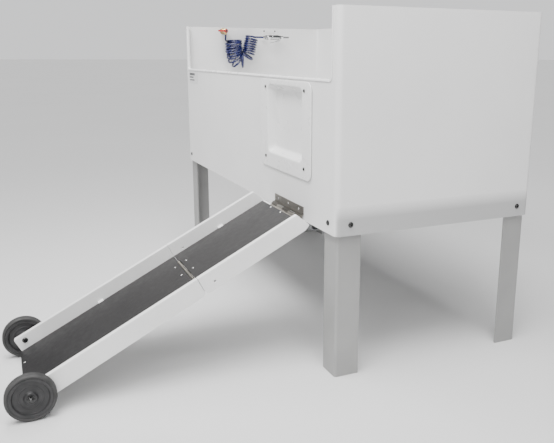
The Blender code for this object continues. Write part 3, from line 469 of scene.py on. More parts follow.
class Look:
    """A node material under construction."""

    def __init__(self, name, colour, roughness, metallic=0.0, **sockets):
        """Start from plain values; other shader sockets are named with _ for a space."""
        self.material = bpy.data.materials.new(name)
        self.material.use_nodes = True
        self.tree = self.material.node_tree
        self.shader = self.tree.nodes["Principled BSDF"]
        self.shader.inputs["Base Color"].default_value = (*colour, 1.0)
        self.shader.inputs["Roughness"].default_value = roughness
        self.shader.inputs["Metallic"].default_value = metallic
        for socket, value in sockets.items():
            self.shader.inputs[socket.replace("_", " ")].default_value = value
        self.place = self.add("TexCoord").outputs["Object"]

    def add(self, kind, inputs=None, **settings):
        """Add a node, set its properties, and set or link its inputs."""
        node = self.tree.nodes.new("ShaderNode" + kind)
        for key, value in settings.items():
            setattr(node, key, value)
        for socket, value in (inputs or {}).items():
            if isinstance(value, bpy.types.NodeSocket):
                self.tree.links.new(value, node.inputs[socket])
            else:
                node.inputs[socket].default_value = value
        return node

    def spot(self, stretch=(1, 1, 1), tilt=0.0):
        """Object coordinates, turned about X and stretched."""
        turned = self.add("Mapping", {"Vector": self.place, "Rotation": (-tilt, 0, 0)}).outputs["Vector"]
        return self.add("Mapping", {"Vector": turned, "Scale": stretch}).outputs["Vector"]

    def noise(self, scale, detail=2.0, where=None):
        """Soft random value, about 0.3 to 0.7."""
        inputs = {"Vector": where or self.place, "Scale": scale, "Detail": detail}
        return self.add("TexNoise", inputs).outputs["Fac"]

    def cells(self, scale):
        """Distance to the nearest of scattered points, for a pebbled grain."""
        return self.add("TexVoronoi", {"Vector": self.place, "Scale": scale}).outputs["Distance"]

    def colours(self, factor, stops):
        """Colour the shader's base by a factor through (place, colour) stops."""
        ramp = self.add("ValToRGB", {"Fac": factor})
        elements = ramp.color_ramp.elements
        while len(elements) < len(stops):
            elements.new(0.5)
        for element, (place, colour) in zip(elements, stops):
            element.position = place
            element.color = (*colour, 1.0)
        self.tree.links.new(ramp.outputs["Color"], self.shader.inputs["Base Color"])

    def between(self, value, low, high, start=0.3, end=0.7):
        """Map a value from start..end to low..high."""
        inputs = {"Value": value, "From Min": start, "From Max": end, "To Min": low, "To Max": high}
        return self.add("MapRange", inputs).outputs["Result"]

    def total(self, first, second, share=1.0):
        """Add a share of the second value to the first."""
        scaled = self.add("Math", {0: second, 1: share}, operation="MULTIPLY").outputs["Value"]
        return self.add("Math", {0: first, 1: scaled}, operation="ADD").outputs["Value"]

    def rough(self, value, low, high):
        """Vary the roughness with a value."""
        self.tree.links.new(self.between(value, low, high), self.shader.inputs["Roughness"])

    def bump(self, height, distance, strength=1.0):
        """Raise a fine relief."""
        inputs = {"Height": height, "Distance": distance, "Strength": strength}
        bump = self.add("Bump", inputs)
        self.tree.links.new(bump.outputs["Normal"], self.shader.inputs["Normal"])

    def finish(self, cloud, shades, polish, relief=None):
        """Cloud the colour between two shades, vary the roughness and raise a relief.

        cloud is (scale, detail), polish adds its low and high, relief its distance and strength.
        """
        self.colours(self.noise(*cloud), tuple(zip((0.3, 0.7), shades)))
        self.rough(self.noise(*polish[:2]), *polish[2:])
        if relief:
            self.bump(self.noise(*relief[:2]), *relief[2:])
        return self.material


def sheet_plastic():
    """Bent and welded sheets: satin, faintly cloudy, and painted darker on the end walls below the floor,
    as painted shade where no daylight comes through them from inside the tank."""
    look = Look("white_plastic.sheet", (0.80, 0.80, 0.79), 0.38)
    axes = look.add("SeparateXYZ", {"Vector": look.place}).outputs
    below = look.between(axes["Z"], 1, 0, FLOOR_RIGHT_Z - 0.034, FLOOR_RIGHT_Z + 0.012)
    outward = look.add("Math", {0: axes["X"]}, operation="ABSOLUTE").outputs["Value"]
    end = look.between(outward, 0, 1, RIGHT - 0.010, RIGHT - 0.002)
    # painted shade: the end walls are coloured darker, down to grey, below the floor
    shade = look.add("Math", {0: below, 1: end}, operation="MULTIPLY").outputs["Value"]
    stops = ((0.036, (0.822, 0.820, 0.815)), (0.084, (0.775, 0.772, 0.770)), (1.0, (0.43, 0.43, 0.43)))
    look.colours(look.total(shade, look.noise(2.6, 3), 0.12), stops)
    look.rough(look.noise(9, 4), 0.30, 0.44)
    look.bump(look.total(look.noise(5, 2), look.noise(420, 2), 0.012), 0.0016, 0.5)
    return look.material


def leg_plastic():
    """Thicker angle stock for the legs, greyer than the sheets as painted shade from the tank above."""
    # painted shade: a base far darker than the sheets' makes the legs look shaded under the tank
    look = Look("white_plastic.angle", (0.30, 0.30, 0.295), 0.42)
    look.finish((3.5, 3), ((0.265, 0.264, 0.260), (0.325, 0.324, 0.318)), (11, 4, 0.36, 0.5))
    look.bump(look.total(look.noise(6, 2), look.noise(460, 2), 0.02), 0.0012, 0.5)
    return look.material


def board_plastic():
    """Sawn and planed board for rails and decks, with fine cutter lines along its length."""
    look = Look("white_plastic.board", (0.80, 0.80, 0.79), 0.42)
    along = look.spot((1, 0.06, 1), RAMP_SLOPE)
    look.colours(look.noise(6, 4), ((0.30, (0.780, 0.778, 0.772)), (0.72, (0.842, 0.840, 0.835))))
    look.rough(look.noise(14, 3), 0.36, 0.52)
    look.bump(look.total(look.noise(7, 2), look.noise(520, 2, along), 0.05), 0.0010, 0.6)
    return look.material


def moulded_plastic():
    """Vacuum-formed cover: smoother and glossier than the sheets."""
    look = Look("white_plastic.moulded", (0.82, 0.82, 0.81), 0.30)
    shades = ((0.805, 0.803, 0.798), (0.835, 0.834, 0.830))
    return look.finish((4, 2), shades, (12, 3, 0.24, 0.34), (9, 2, 0.0008, 0.4))


def weld_plastic():
    """Extruded weld bead, a little clearer and glossier than the sheet."""
    look = Look("white_plastic.weld", (0.78, 0.78, 0.76), 0.3)
    shades = ((0.74, 0.74, 0.72), (0.81, 0.81, 0.80))
    return look.finish((60, 3), shades, (80, 3, 0.22, 0.40), (260, 3, 0.0006, 0.6))


def brushed_steel(name="brushed", painted_light_gain=1.0):
    """Rolled stainless, brushed along X; the gain lightens it, as painted light on the ramp's hinge parts.
    """
    look = Look(f"hinge_steel.{name}", (0.18, 0.17, 0.15), 0.34, 1.0)
    grain = look.noise(260, 3, look.spot((0.03, 1, 1)))
    shades = ((0.10, 0.095, 0.085), (0.24, 0.225, 0.20))
    # painted light: a gain above 1 lightens this copy of the steel for the hinge parts on the ramp
    dark, light = [tuple(painted_light_gain * channel for channel in shade) for shade in shades]
    look.colours(look.total(look.between(grain, 0, 0.5), look.noise(30, 3), 0.6),
                 ((0.25, dark), (0.75, light)))
    look.rough(grain, 0.26, 0.46)
    look.bump(grain, 0.00012, 0.7)
    return look.material


def bolt_steel():
    """Dull machined screws, nuts and washers."""
    look = Look("bolt_steel.turned", (0.15, 0.15, 0.15), 0.24, 1.0)
    shades = ((0.045, 0.045, 0.045), (0.10, 0.10, 0.10))
    return look.finish((180, 3), shades, (320, 3, 0.16, 0.32), (900, 2, 0.00006, 0.5))


def mat_rubber():
    """Fine-grained rubber, lighter towards the tank: partly dust, partly painted sheen."""
    look = Look("mat_rubber.mat", (0.075, 0.073, 0.075), 0.6)
    height = look.add("SeparateXYZ", {"Vector": look.place}).outputs["Z"]
    # painted sheen with dust: the colour lightens with height, towards the tank
    dust_and_sheen = look.between(look.total(height, look.noise(7, 4), 0.22), 0, 1, 0.16, 0.66)
    stops = ((0.0, (0.010, 0.0095, 0.010)), (0.5, (0.022, 0.021, 0.021)), (1.0, (0.036, 0.035, 0.035)))
    look.colours(dust_and_sheen, stops)
    look.rough(look.noise(40, 4), 0.46, 0.62)
    look.bump(look.total(look.cells(620), look.noise(900, 2), 0.5), 0.00025, 0.6)
    return look.material


def bright_steel():
    """Polished screws, lighter than the leaves that they hold."""
    look = Look("bolt_steel.bright", (0.78, 0.78, 0.77), 0.16, 1.0)
    return look.finish((240, 2), ((0.70, 0.70, 0.69), (0.84, 0.84, 0.83)), (400, 2, 0.12, 0.24))


def seal_rubber():
    """Soft black seals."""
    look = Look("mat_rubber.seal", (0.05, 0.05, 0.05), 0.6)
    return look.finish((300, 3), ((0.035, 0.035, 0.035), (0.065, 0.065, 0.065)), (120, 3, 0.5, 0.7))


def hub_plastic():
    """Dark moulded wheel centres."""
    look = Look("wheel_plastic.moulded", (0.06, 0.06, 0.062), 0.5)
    shades = ((0.016, 0.016, 0.017), (0.034, 0.033, 0.034))
    return look.finish((45, 4), shades, (90, 3, 0.38, 0.56), (700, 2, 0.00012, 0.6))


def tyre_rubber():
    """Dusty grey tyres."""
    look = Look("tyre_rubber.grey", (0.13, 0.13, 0.13), 0.7)
    look.finish((35, 5), ((0.026, 0.026, 0.026), (0.050, 0.049, 0.049)), (70, 3, 0.55, 0.78))
    look.bump(look.total(look.noise(160, 3), look.noise(900, 2), 0.3), 0.0002, 0.6)
    return look.material


def pipe_plastic():
    """Grey moulded pipe and valve."""
    look = Look("grey_plastic.pipe", (0.20, 0.205, 0.21), 0.4)
    shades = ((0.17, 0.175, 0.18), (0.23, 0.235, 0.24))
    return look.finish((50, 3), shades, (110, 3, 0.32, 0.46), (500, 2, 0.0001, 0.5))


def brass_metal():
    """Turned brass."""
    look = Look("brass.turned", (0.72, 0.56, 0.28), 0.28, 1.0)
    shades = ((0.60, 0.44, 0.20), (0.78, 0.62, 0.33))
    return look.finish((90, 4), shades, (200, 3, 0.20, 0.36), (800, 2, 0.00006, 0.5))


def chrome_metal():
    """Worn chrome plating."""
    look = Look("chrome.polished", (0.80, 0.80, 0.80), 0.1, 1.0)
    return look.finish((60, 3), ((0.42, 0.43, 0.44), (0.56, 0.56, 0.56)), (160, 3, 0.06, 0.16))


def hose_plastic():
    """Glossy dark blue tube."""
    look = Look("blue_hose.tube", (0.02, 0.05, 0.42), 0.26, Coat_Weight=0.4, Coat_Roughness=0.12)
    shades = ((0.0015, 0.003, 0.045), (0.004, 0.009, 0.095))
    return look.finish((30, 3), shades, (140, 2, 0.20, 0.32), (600, 2, 0.00008, 0.5))


def lever_plastic():
    """Red dipped levers."""
    look = Look("lever_red.dipped", (0.45, 0.03, 0.03), 0.35)
    shades = ((0.38, 0.022, 0.022), (0.52, 0.04, 0.035))
    return look.finish((80, 3), shades, (150, 3, 0.28, 0.42), (400, 2, 0.0001, 0.5))


def film_plastic(name, dark, light):
    """Printed film in one of the data plate's two tones."""
    look = Look(f"plate_print.{name}", light, 0.34)
    return look.finish((120, 3), (dark, light), (60, 2, 0.28, 0.40))


# ---------------------------------------------------------------- camera, floor and light

def camera():
    """Stand at the right end of the tank, a little to its front, looking slightly down."""
    data = bpy.data.cameras.new("camera")
    data.lens = CAMERA_LENS
    data.sensor_width = 36.0
    data.shift_x, data.shift_y = CAMERA_SHIFT
    cam = bpy.data.objects.new("camera", data)
    heading = Matrix.Rotation(math.radians(CAMERA_HEADING), 4, "Z")
    tilt = Matrix.Rotation(math.radians(90 - CAMERA_DIP), 4, "X")
    roll = Matrix.Rotation(math.radians(CAMERA_ROLL), 4, "Z")
    cam.matrix_world = Matrix.Translation(CAMERA_PLACE) @ (heading @ tilt) @ roll
    bpy.context.scene.collection.objects.link(cam)
    bpy.context.scene.camera = cam


def area_light(name, place, target, size, power):
    """Hang a soft rectangular lamp that faces a target."""
    data = bpy.data.lights.new(name, "AREA")
    data.shape = "RECTANGLE"
    data.size, data.size_y = size
    data.energy = power
    light = bpy.data.objects.new(name, data)
    light.location = place
    light.rotation_euler = (Vector(target) - Vector(place)).to_track_quat("-Z", "Y").to_euler()
    bpy.context.scene.collection.objects.link(light)


def stage_floor():
    """A plain pale floor that runs to the horizon."""
    bm = bmesh.new()
    corners = ((-1, -1), (1, -1), (1, 1), (-1, 1))
    bm.faces.new([bm.verts.new((x * STAGE_REACH, y * STAGE_REACH, 0)) for x, y in corners])
    floor = raw_object("floor", bm)
    look = Look("floor", (0.68, 0.68, 0.68), 0.7)
    look.colours(look.noise(0.4, 2), ((0.3, (0.67, 0.67, 0.67)), (0.7, (0.69, 0.69, 0.69))))
    floor.data.materials.append(look.material)


def sky():
    """A world that is bright at the horizon and dim overhead."""
    world = bpy.data.worlds.new("studio")
    world.use_nodes = True
    tree = world.node_tree
    height = tree.nodes.new("ShaderNodeSeparateXYZ")
    tree.links.new(tree.nodes.new("ShaderNodeTexCoord").outputs["Generated"], height.inputs["Vector"])
    level = tree.nodes.new("ShaderNodeMapRange")
    for socket, value in (("From Min", 0.10), ("From Max", 0.35), ("To Min", HORIZON), ("To Max", CEILING)):
        level.inputs[socket].default_value = value
    tree.links.new(height.outputs["Z"], level.inputs["Value"])
    backdrop = tree.nodes["Background"]
    backdrop.inputs["Color"].default_value = (0.985, 0.99, 1.0, 1.0)
    tree.links.new(level.outputs["Result"], backdrop.inputs["Strength"])
    bpy.context.scene.world = world


def studio():
    """Set the floor, the world, a soft sun and the large lamps."""
    stage_floor()
    sky()
    data = bpy.data.lights.new("sun", "SUN")
    data.energy = SUN
    data.angle = SUN_SPREAD
    sun = bpy.data.objects.new("sun", data)
    sun.rotation_euler = Vector(SUN_FROM).to_track_quat("Z", "Y").to_euler()
    bpy.context.scene.collection.objects.link(sun)
    for lamp in LAMPS:
        area_light(*lamp)


# ---------------------------------------------------------------- hose and spray gun

def coil_state(turns):
    """Centre, tilt, radius and lean of the coil after some turns, read smoothly from its table."""
    index = max(i for i in range(len(COIL) - 1) if COIL[i][0] <= turns + 1e-9)
    low, high = COIL[index], COIL[index + 1]
    share = (turns - low[0]) / (high[0] - low[0])
    before = COIL[index - 1] if index else low
    after = COIL[index + 2] if index + 2 < len(COIL) else high
    values = []
    for k in range(1, 6):
        span = high[0] - low[0]
        rise_low = (high[k] - before[k]) / max(high[0] - before[0], 1e-9) * span
        rise_high = (after[k] - low[k]) / max(after[0] - low[0], 1e-9) * span
        square, cube = share * share, share ** 3
        values.append((2 * cube - 3 * square + 1) * low[k] + (cube - 2 * square + share) * rise_low
                      + (3 * square - 2 * cube) * high[k] + (cube - square) * rise_high)
    return values


def hose_lead():
    """Down from the inlet and round a bend into the coil."""
    _, first_y, first_z, _, coil_r, _ = COIL[0]
    exit_point = Vector(EXIT)
    points = [exit_point, exit_point - Vector((0, 0, 0.0025))]
    for i in range(12):
        turned = LEAD_TURN * i / 11
        angle = -math.pi / 2 - LEAD_BEND * (1 - math.cos(turned)) / coil_r
        points.append(Vector((HOSE_X + coil_r * math.cos(angle), FRONT + first_y + coil_r * math.sin(angle),
                              first_z + LEAD_BEND - LEAD_BEND * math.sin(turned))))
    return points


def coil_point(turns):
    """A point of the hanging coil, whose middle turns hang a little unevenly."""
    y, z, tilt, radius, lean = coil_state(max(turns, COIL[0][0]))
    loose = max(0.0, 1 - abs(turns - 3.8) / 3.2)
    y += 0.0022 * loose * math.sin(4.1 * turns)
    tilt = math.radians(tilt + 5 * loose * math.sin(2.6 * turns + 1))
    lean = math.radians(lean)
    angle = -math.pi / 2 - 2 * math.pi * turns
    across, out = radius * math.sin(angle), radius * math.cos(angle)
    return Vector((HOSE_X + out * math.cos(lean), FRONT + y + across * math.cos(tilt),
                   z + across * math.sin(tilt) - out * math.sin(lean)))


def hose_end(last):
    """Level out from the coil's last turn and enter the gun."""
    fall = math.radians(180 - COIL[-1][3])
    points = []
    for i in range(1, 7):
        rest = fall - fall * i / 6
        points.append(last + Vector((0, LEAD_BEND * (math.sin(fall) - math.sin(rest)),
                                     -LEAD_BEND * (math.cos(rest) - math.cos(fall)))))
    return points + [Vector((GUN_X, GUN_REAR - back, GUN_Z)) for back in (0.006, GAP)]


def hose_route():
    """Centre line: down from the inlet, round the hanging coil and level into the gun."""
    lead_turns = LEAD_BEND * (1 - math.cos(LEAD_TURN)) / COIL[0][4] / (2 * math.pi)
    coil_turns = COIL[-1][0] - lead_turns
    steps = round(coil_turns * TURN_STEPS)
    coil = [coil_point(lead_turns + coil_turns * i / steps) for i in range(1, steps + 1)]
    return hose_lead() + coil + hose_end(coil[-1])


def hose():
    """The curly hose, as one tube from the inlet's tail to the gun."""
    points = hose_route()
    curve = bpy.data.curves.new("curly_hose", "CURVE")
    curve.dimensions = "3D"
    curve.bevel_depth = HOSE_R
    curve.bevel_resolution = 4
    curve.use_fill_caps = True
    spline = curve.splines.new("POLY")
    spline.points.add(len(points) - 1)
    for spot, point in zip(spline.points, points):
        spot.co = (*point, 1.0)
    curve.materials.append(hose_plastic())
    tube = bpy.data.objects.new("curly_hose", curve)
    bpy.context.scene.collection.objects.link(tube)
    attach(tube, "tank")
    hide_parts("hose_from_inlet", "hose_coil_drop", "hose_link", "hose_coil_rise", "hose_to_gun")


def gun(chrome):
    """The gun's body, nozzle, trigger and hose ferrule."""
    body = rounded(((0, 0), (0.0085, 0, 0.0008), (0.0085, 0.001), (0.0112, 0.002, 0.0008),
                    (0.0112, 0.0120, 0.0008), (0.0100, 0.0132, 0.0008), (0.0124, 0.0165, 0.001),
                    (0.0124, 0.0400, 0.0010), (0.0116, 0.0412, 0.0004), (0.0116, 0.0428, 0.0004),
                    (0.0124, 0.0440, 0.001), (0.0124, 0.0795, 0.002), (0.0104, 0.0840, 0.001),
                    (0.0104, 0.0940, 0.0008), (0, 0.0940)), False, 3)
    piece("gun_body", solid(add_turned, body, (GUN_X, GUN_REAR, GUN_Z), (0, 1, 0), 40),
          chrome, "tank", "spray_gun_body")
    knob = ((0, 0.0002), (0.0078, 0.0002), (0.0086, 0.001, True), (0.0086, 0.011, True), (0.0078, 0.0122),
            (0.0060, 0.0155), (0.0055, 0.024), (0.0047, 0.045), (0.0047, 0.0485), (0.0040, 0.0498),
            (0.0016, 0.0500), (0.0012, 0.0470), (0, 0.0470))
    start = (GUN_X, GUN_REAR + 0.094 + GAP, GUN_Z)
    piece("gun_nozzle", solid(add_turned, knob, start, (0, 1, 0), 96, lobes=(24, 0.07)),
          chrome, "tank", "spray_gun_nozzle")
    pivot_y, pivot_z = GUN_REAR + 0.084, GUN_Z - 0.0165
    outline = rounded(((0.0034, 0.0030, 0.002), (0.0034, -0.0032, 0.002), (-0.0060, -0.0052, 0.004),
                       (-0.0360, -0.0127, 0.020), (-0.0530, -0.0142, 0.0014), (-0.0530, -0.0108, 0.0014),
                       (-0.0360, -0.0090, 0.020), (-0.0110, -0.0005, 0.004), (-0.0040, 0.0030, 0.002)),
                      True, 5)
    outline = [(pivot_y + a, pivot_z + b) for a, b in outline]
    piece("gun_trigger", solid(add_prism, outline, GUN_X - 0.006, GUN_X + 0.006, "X"),
          chrome, "gun_trigger", "spray_gun_trigger", bevel=0.0008)
    ferrule = rounded(((HOSE_R + GAP, 0, 0.0004), (0.0068, 0, 0.0006), (0.0068, 0.0105, 0.0006),
                       (HOSE_R + GAP, 0.0105, 0.0004)), True, 3)
    piece("gun_ferrule",
          solid(add_turned, ferrule, (GUN_X, GUN_REAR - 0.0108, GUN_Z), (0, 1, 0), 32, ring=True),
          chrome, "tank")


def gun_hook(plastic, bolt):
    """Bent strip with two arms that hold the gun off the wall."""
    face = LEFT + WALL + GAP
    front = face + HOOK_THICK
    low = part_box("gun_hook")[0].z
    lip = GUN_X + 0.016
    outline = rounded(((face, HOOK_TOP), (face, low, 0.004), (lip + HOOK_THICK, low, 0.004),
                       (lip + HOOK_THICK, GUN_Z + 0.002), (lip, GUN_Z + 0.002),
                       (lip, low + HOOK_THICK, 0.002), (front, low + HOOK_THICK, 0.002),
                       (front, HOOK_TOP)), True, 5)
    hook = raw_object("gun_hook_strip", solid(add_prism, outline, GUN_REAR + 0.014, GUN_REAR + 0.104, "Y"))
    slot = rounded_rectangle((GUN_REAR + 0.059, low), (0.066, 2 * (1.196 - low)), 0.006, 5)
    carve(hook, solid(add_prism, slot, face - 0.01, lip + 0.02, "X"))
    dress(hook, plastic, "tank", "gun_hook", bevel=0.0005)
    for number, along in enumerate((0.026, 0.092), 1):
        place = (front, GUN_REAR + along, 1.2045)
        piece(f"hook_screw_{number}",
              solid(add_button_screw, place, (1, 0, 0), 0.0042, 0.0024, 0.002, 0.006, "cross"),
              bolt, "tank")


# ---------------------------------------------------------------- tank

def leg_corners():
    """Return (name, x sign, y sign) for each leg."""
    return (("front_left", -1, -1), ("front_right", 1, -1), ("rear_left", -1, 1), ("rear_right", 1, 1))


def leg_bolt_places():
    """Return (point on the tank's outer face, outward direction) for the eight leg bolts."""
    places = []
    for _, sx, sy in leg_corners():
        edge_y = BACK if sy > 0 else FRONT
        places.append(((sx * (RIGHT - LEG_BOLT_INSET), edge_y, LEG_BOLT_Z), (0, sy, 0)))
        places.append(((sx * RIGHT, edge_y - sy * LEG_BOLT_INSET, LEG_BOLT_Z), (sx, 0, 0)))
    return places


def cover_screw_places():
    """Return the places of the four cover screws, on the cover's face."""
    boxes = [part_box(f"cover_screw_{i}") for i in (1, 2, 3, 4)]
    face = cover_face()
    return [((low.x + high.x) / 2, face, (low.z + high.z) / 2) for low, high in boxes]


def cover_face():
    """The cover's front face in y."""
    return FRONT - SEAL_THICK - COVER_THICK


def opening_outline(steps=14):
    """Outline in x and z of the low front's opening, running well above the walls."""
    left, right = LEFT + FRONT_FLANGE, RIGHT - FRONT_FLANGE
    low, high = RIM_Z - TRIM_HEIGHT, WALL_TOP_Z + 0.05
    return rounded(((right, high), (left, high), (left, low, OPENING_R), (right, low, OPENING_R)), True,
                   steps)


def tank_walls(look):
    """Four walls from one loft, with the front's opening, its recess window and the bolt holes."""
    centre = ((LEFT + RIGHT) / 2, (FRONT + BACK) / 2)
    size = (RIGHT - LEFT, BACK - FRONT)
    outer = rounded_rectangle(centre, size, CORNER_R, 10)
    inner = rounded_rectangle(centre, (size[0] - 2 * WALL, size[1] - 2 * WALL), CORNER_R - WALL, 10)
    levels = ((outer, SKIRT_Z), (outer, WALL_TOP_Z), (inner, WALL_TOP_Z), (inner, SKIRT_Z))
    rings = [[(x, y, z) for x, y in outline] for outline, z in levels]
    walls = raw_object("tank_walls", solid(add_loft, rings, closed=True))
    window = rounded_rectangle(POCKET_CENTRE, (POCKET_MOUTH[0] + 0.012, POCKET_MOUTH[1] + 0.012), 0.02, 8)
    openings = (opening_outline(), window)
    carve(walls, solids(add_prism, [(outline, FRONT - 0.05, FRONT + 0.04, "Y") for outline in openings]))
    holes = [(M8_HOLE_R, Vector(point) + Vector(direction) * 0.01, -Vector(direction), 0.03)
             for point, direction in leg_bolt_places()]
    holes += [(COVER_HOLE_R, (x, FRONT - 0.01, z), (0, 1, 0), 0.0185, 20) for x, _,
              z in cover_screw_places()]
    holes.append((INLET_HOLE_R, (LEFT - 0.01, EXIT[1], 1.2), (1, 0, 0), 0.03))
    carve(walls, solids(add_rod, holes))
    dress(walls, look, "tank", "tank_shell", bevel=0.0011)


def rim_edging(look):
    """Round edging pushed onto the front's opening, across its foot and up both sides."""
    sides = opening_outline()[2:]
    top = WALL_TOP_Z - GAP
    line = [(sides[0][0], top)] + sides + [(sides[-1][0], top)]
    line = [p for i, p in enumerate(line) if i == 0 or (Vector(p) - Vector(line[i - 1])).length > 1e-6]
    frames = []
    for i, (x, z) in enumerate(line):
        ahead = Vector(line[min(i + 1, len(line) - 1)]) - Vector(line[max(i - 1, 0)])
        ahead.normalize()
        frames.append((Vector((x, FRONT + WALL / 2, z)), Vector((0, 1, 0)), Vector((-ahead.y, 0, ahead.x))))
    profile = rounded(((-TRIM_WIDTH / 2, 0.0008, 0.0006), (-TRIM_WIDTH / 2, TRIM_HEIGHT, 0.0064),
                       (TRIM_WIDTH / 2, TRIM_HEIGHT, 0.0064), (TRIM_WIDTH / 2, 0.0008, 0.0006)), True, 7)
    piece("rim_edging",
          solid(add_sweep, frames, lambda i: profile), look, "tank", "front_rim_trim", sharp=50)


def floor_top(x):
    """Height of the sloping floor's upper face at x."""
    return FLOOR_RIGHT_Z + FLOOR_FALL * (RIGHT - x)


def floor_and_ribs(look):
    """The sloping floor with the drain's hole, and the two ribs under it."""
    edge = WALL + GAP
    centre = ((LEFT + RIGHT) / 2, (FRONT + BACK) / 2)
    size = (RIGHT - LEFT - 2 * edge, BACK - FRONT - 2 * edge)
    outline = rounded_rectangle(centre, size, CORNER_R - WALL, 6)
    rings = [[(x, y, floor_top(x) - drop) for x, y in outline] for drop in (FLOOR_THICK, 0)]
    plate = raw_object("floor_plate", solid(add_loft, rings))
    carve(plate, solid(add_rod, DRAIN_HOLE_R, (DRAIN_X, DRAIN_Y, 0.5), (0, 0, 1), 0.2, 48))
    dress(plate, look, "tank", "tank_floor", bevel=0.0006)
    for name in RIBS:
        low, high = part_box(name)
        piece(f"{name}_strip", solid(add_box, low, high), look, "tank", name, bevel=0.0009)


def weld_frames(outline, inward, height):
    """Return frames along a closed outline for a bead against a wall."""
    frames = []
    count = len(outline)
    for i, (x, y) in enumerate(outline):
        ahead = Vector(outline[(i + 1) % count]) - Vector(outline[i - 1])
        ahead.normalize()
        across = Vector((-ahead.y, ahead.x, 0)) * inward
        frames.append((Vector((x, y, height(x))), across, Vector((0, 0, 1))))
    return frames


def resampled(outline, step):
    """Return points spaced along a closed outline."""
    points = []
    for i, start in enumerate(outline):
        end = outline[(i + 1) % len(outline)]
        run = (Vector(end) - Vector(start)).length
        count = max(1, round(run / step))
        for k in range(count):
            points.append(tuple(Vector(start).lerp(Vector(end), k / count)))
    return [p for i, p in enumerate(points) if (Vector(p) - Vector(points[i - 1])).length > 1e-6]


def weld_section(size):
    """A round-faced fillet bead in a corner."""
    points = [(GAP, GAP)]
    for i in range(6):
        angle = math.radians(90 * i / 5)
        bulge = size * (0.80 + 0.22 * math.sin(2 * angle))
        points.append((GAP + bulge * math.cos(angle), GAP + bulge * math.sin(angle)))
    return points


def bead(size, wave, ripple=0.0):
    """Return a sweep's section for a bead whose size waves a little along it."""
    return lambda i: weld_section(size * (1 + wave * math.sin(2.1 * i) + ripple * math.sin(0.37 * i)))


def welds(look):
    """The beads that join the floor to the walls, and the ribs to the floor."""
    centre = ((LEFT + RIGHT) / 2, (FRONT + BACK) / 2)
    size = (RIGHT - LEFT - 2 * WALL, BACK - FRONT - 2 * WALL)
    outline = resampled(rounded_rectangle(centre, size, CORNER_R - WALL, 5), 0.0075)
    frames = weld_frames(outline, 1, floor_top)
    piece("floor_weld", solid(add_sweep, frames, bead(WELD, 0.06, 0.05), closed=True),
          look, "tank", sharp=70)
    count = 90
    for name in RIBS:
        low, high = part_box(name)
        for side, x, out in (("left", low.x, -1), ("right", high.x, 1)):
            frames = []
            for i in range(count + 1):
                y = low.y + 0.012 + (high.y - low.y - 0.024) * i / count
                point = Vector((x, y, floor_top(x) - FLOOR_THICK - 0.0004))
                frames.append((point, Vector((out, 0, 0)), Vector((0, 0, -1))))
            piece(f"{name}_weld_{side}", solid(add_sweep, frames, bead(0.005, 0.07)),
                  look, "tank", sharp=70)


def legs(look):
    """Four angle legs inside the tank's corners, each with two bolt holes."""
    flange, thick = LEG_FLANGE, LEG_THICK
    section = rounded(((0, 0, CORNER_R - WALL), (0, flange), (thick, flange, 0.002),
                       (thick, thick, 0.005), (flange, thick, 0.002), (flange, 0)), True, 6)
    for name, sx, sy in leg_corners():
        low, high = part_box(f"leg_{name}")
        x = high.x if sx > 0 else low.x
        y = high.y if sy > 0 else low.y
        outline = [(x - sx * a, y - sy * b) for a, b in section]
        leg = raw_object(f"angle_leg_{name}", solid(add_prism, outline, low.z, high.z, "Z"))
        holes = []
        for point, direction in leg_bolt_places():
            start = Vector(point) + Vector(direction) * 0.01
            if abs(start.x - x) < 0.2 and abs(start.y - y) < 0.2:
                holes.append((M8_HOLE_R, start, -Vector(direction), 0.05))
        carve(leg, solids(add_rod, holes))
        dress(leg, look, "tank", f"leg_{name}", bevel=0.0008)


def leg_fixings(bolt):
    """A button screw, two washers and a lock nut at each leg bolt."""
    grip = WALL + LEG_THICK + 2 * GAP
    for number, (point, direction) in enumerate(leg_bolt_places(), 1):
        out = Vector(direction)
        outer_face = Vector(point)
        inner_face = outer_face - out * (grip + GAP)
        for name, shape, stands_for in (("screw", solid(add_button_screw, outer_face + out * 0.0012,
                                                        direction, 0.0080, 0.0036, 0.0040, grip + 0.0115),
                                         f"leg_bolt_{number}"), ("washer_outer",
                                                                 solid(add_washer, 0.0043, 0.0094, 0.0012,
                                                                       outer_face + out * 0.0001,
                                                                       direction), ()), ("washer_inner",
                                                                                         solid(add_washer,
                                                                                               0.0043,
                                                                                               0.0084,
                                                                                               0.0012,
                                                                                               inner_face,
                                                                                               -out), ()),
                                        ("nut", solid(add_nut, 0.0065, 0.0062, 0.0041,
                                                      inner_face - out * 0.0014, -out, 0.0018), ())):
            piece(f"leg_{name}_{number}", shape, bolt, "tank", stands_for)


def rectangle_ring(centre, size, grow, radius, steps, y):
    """Return a rounded rectangle in x and z, grown on all sides, as a ring at y."""
    grown = (size[0] + 2 * grow, size[1] + 2 * grow)
    return [(x, y, z) for x, z in rounded_rectangle(centre, grown, radius, steps)]


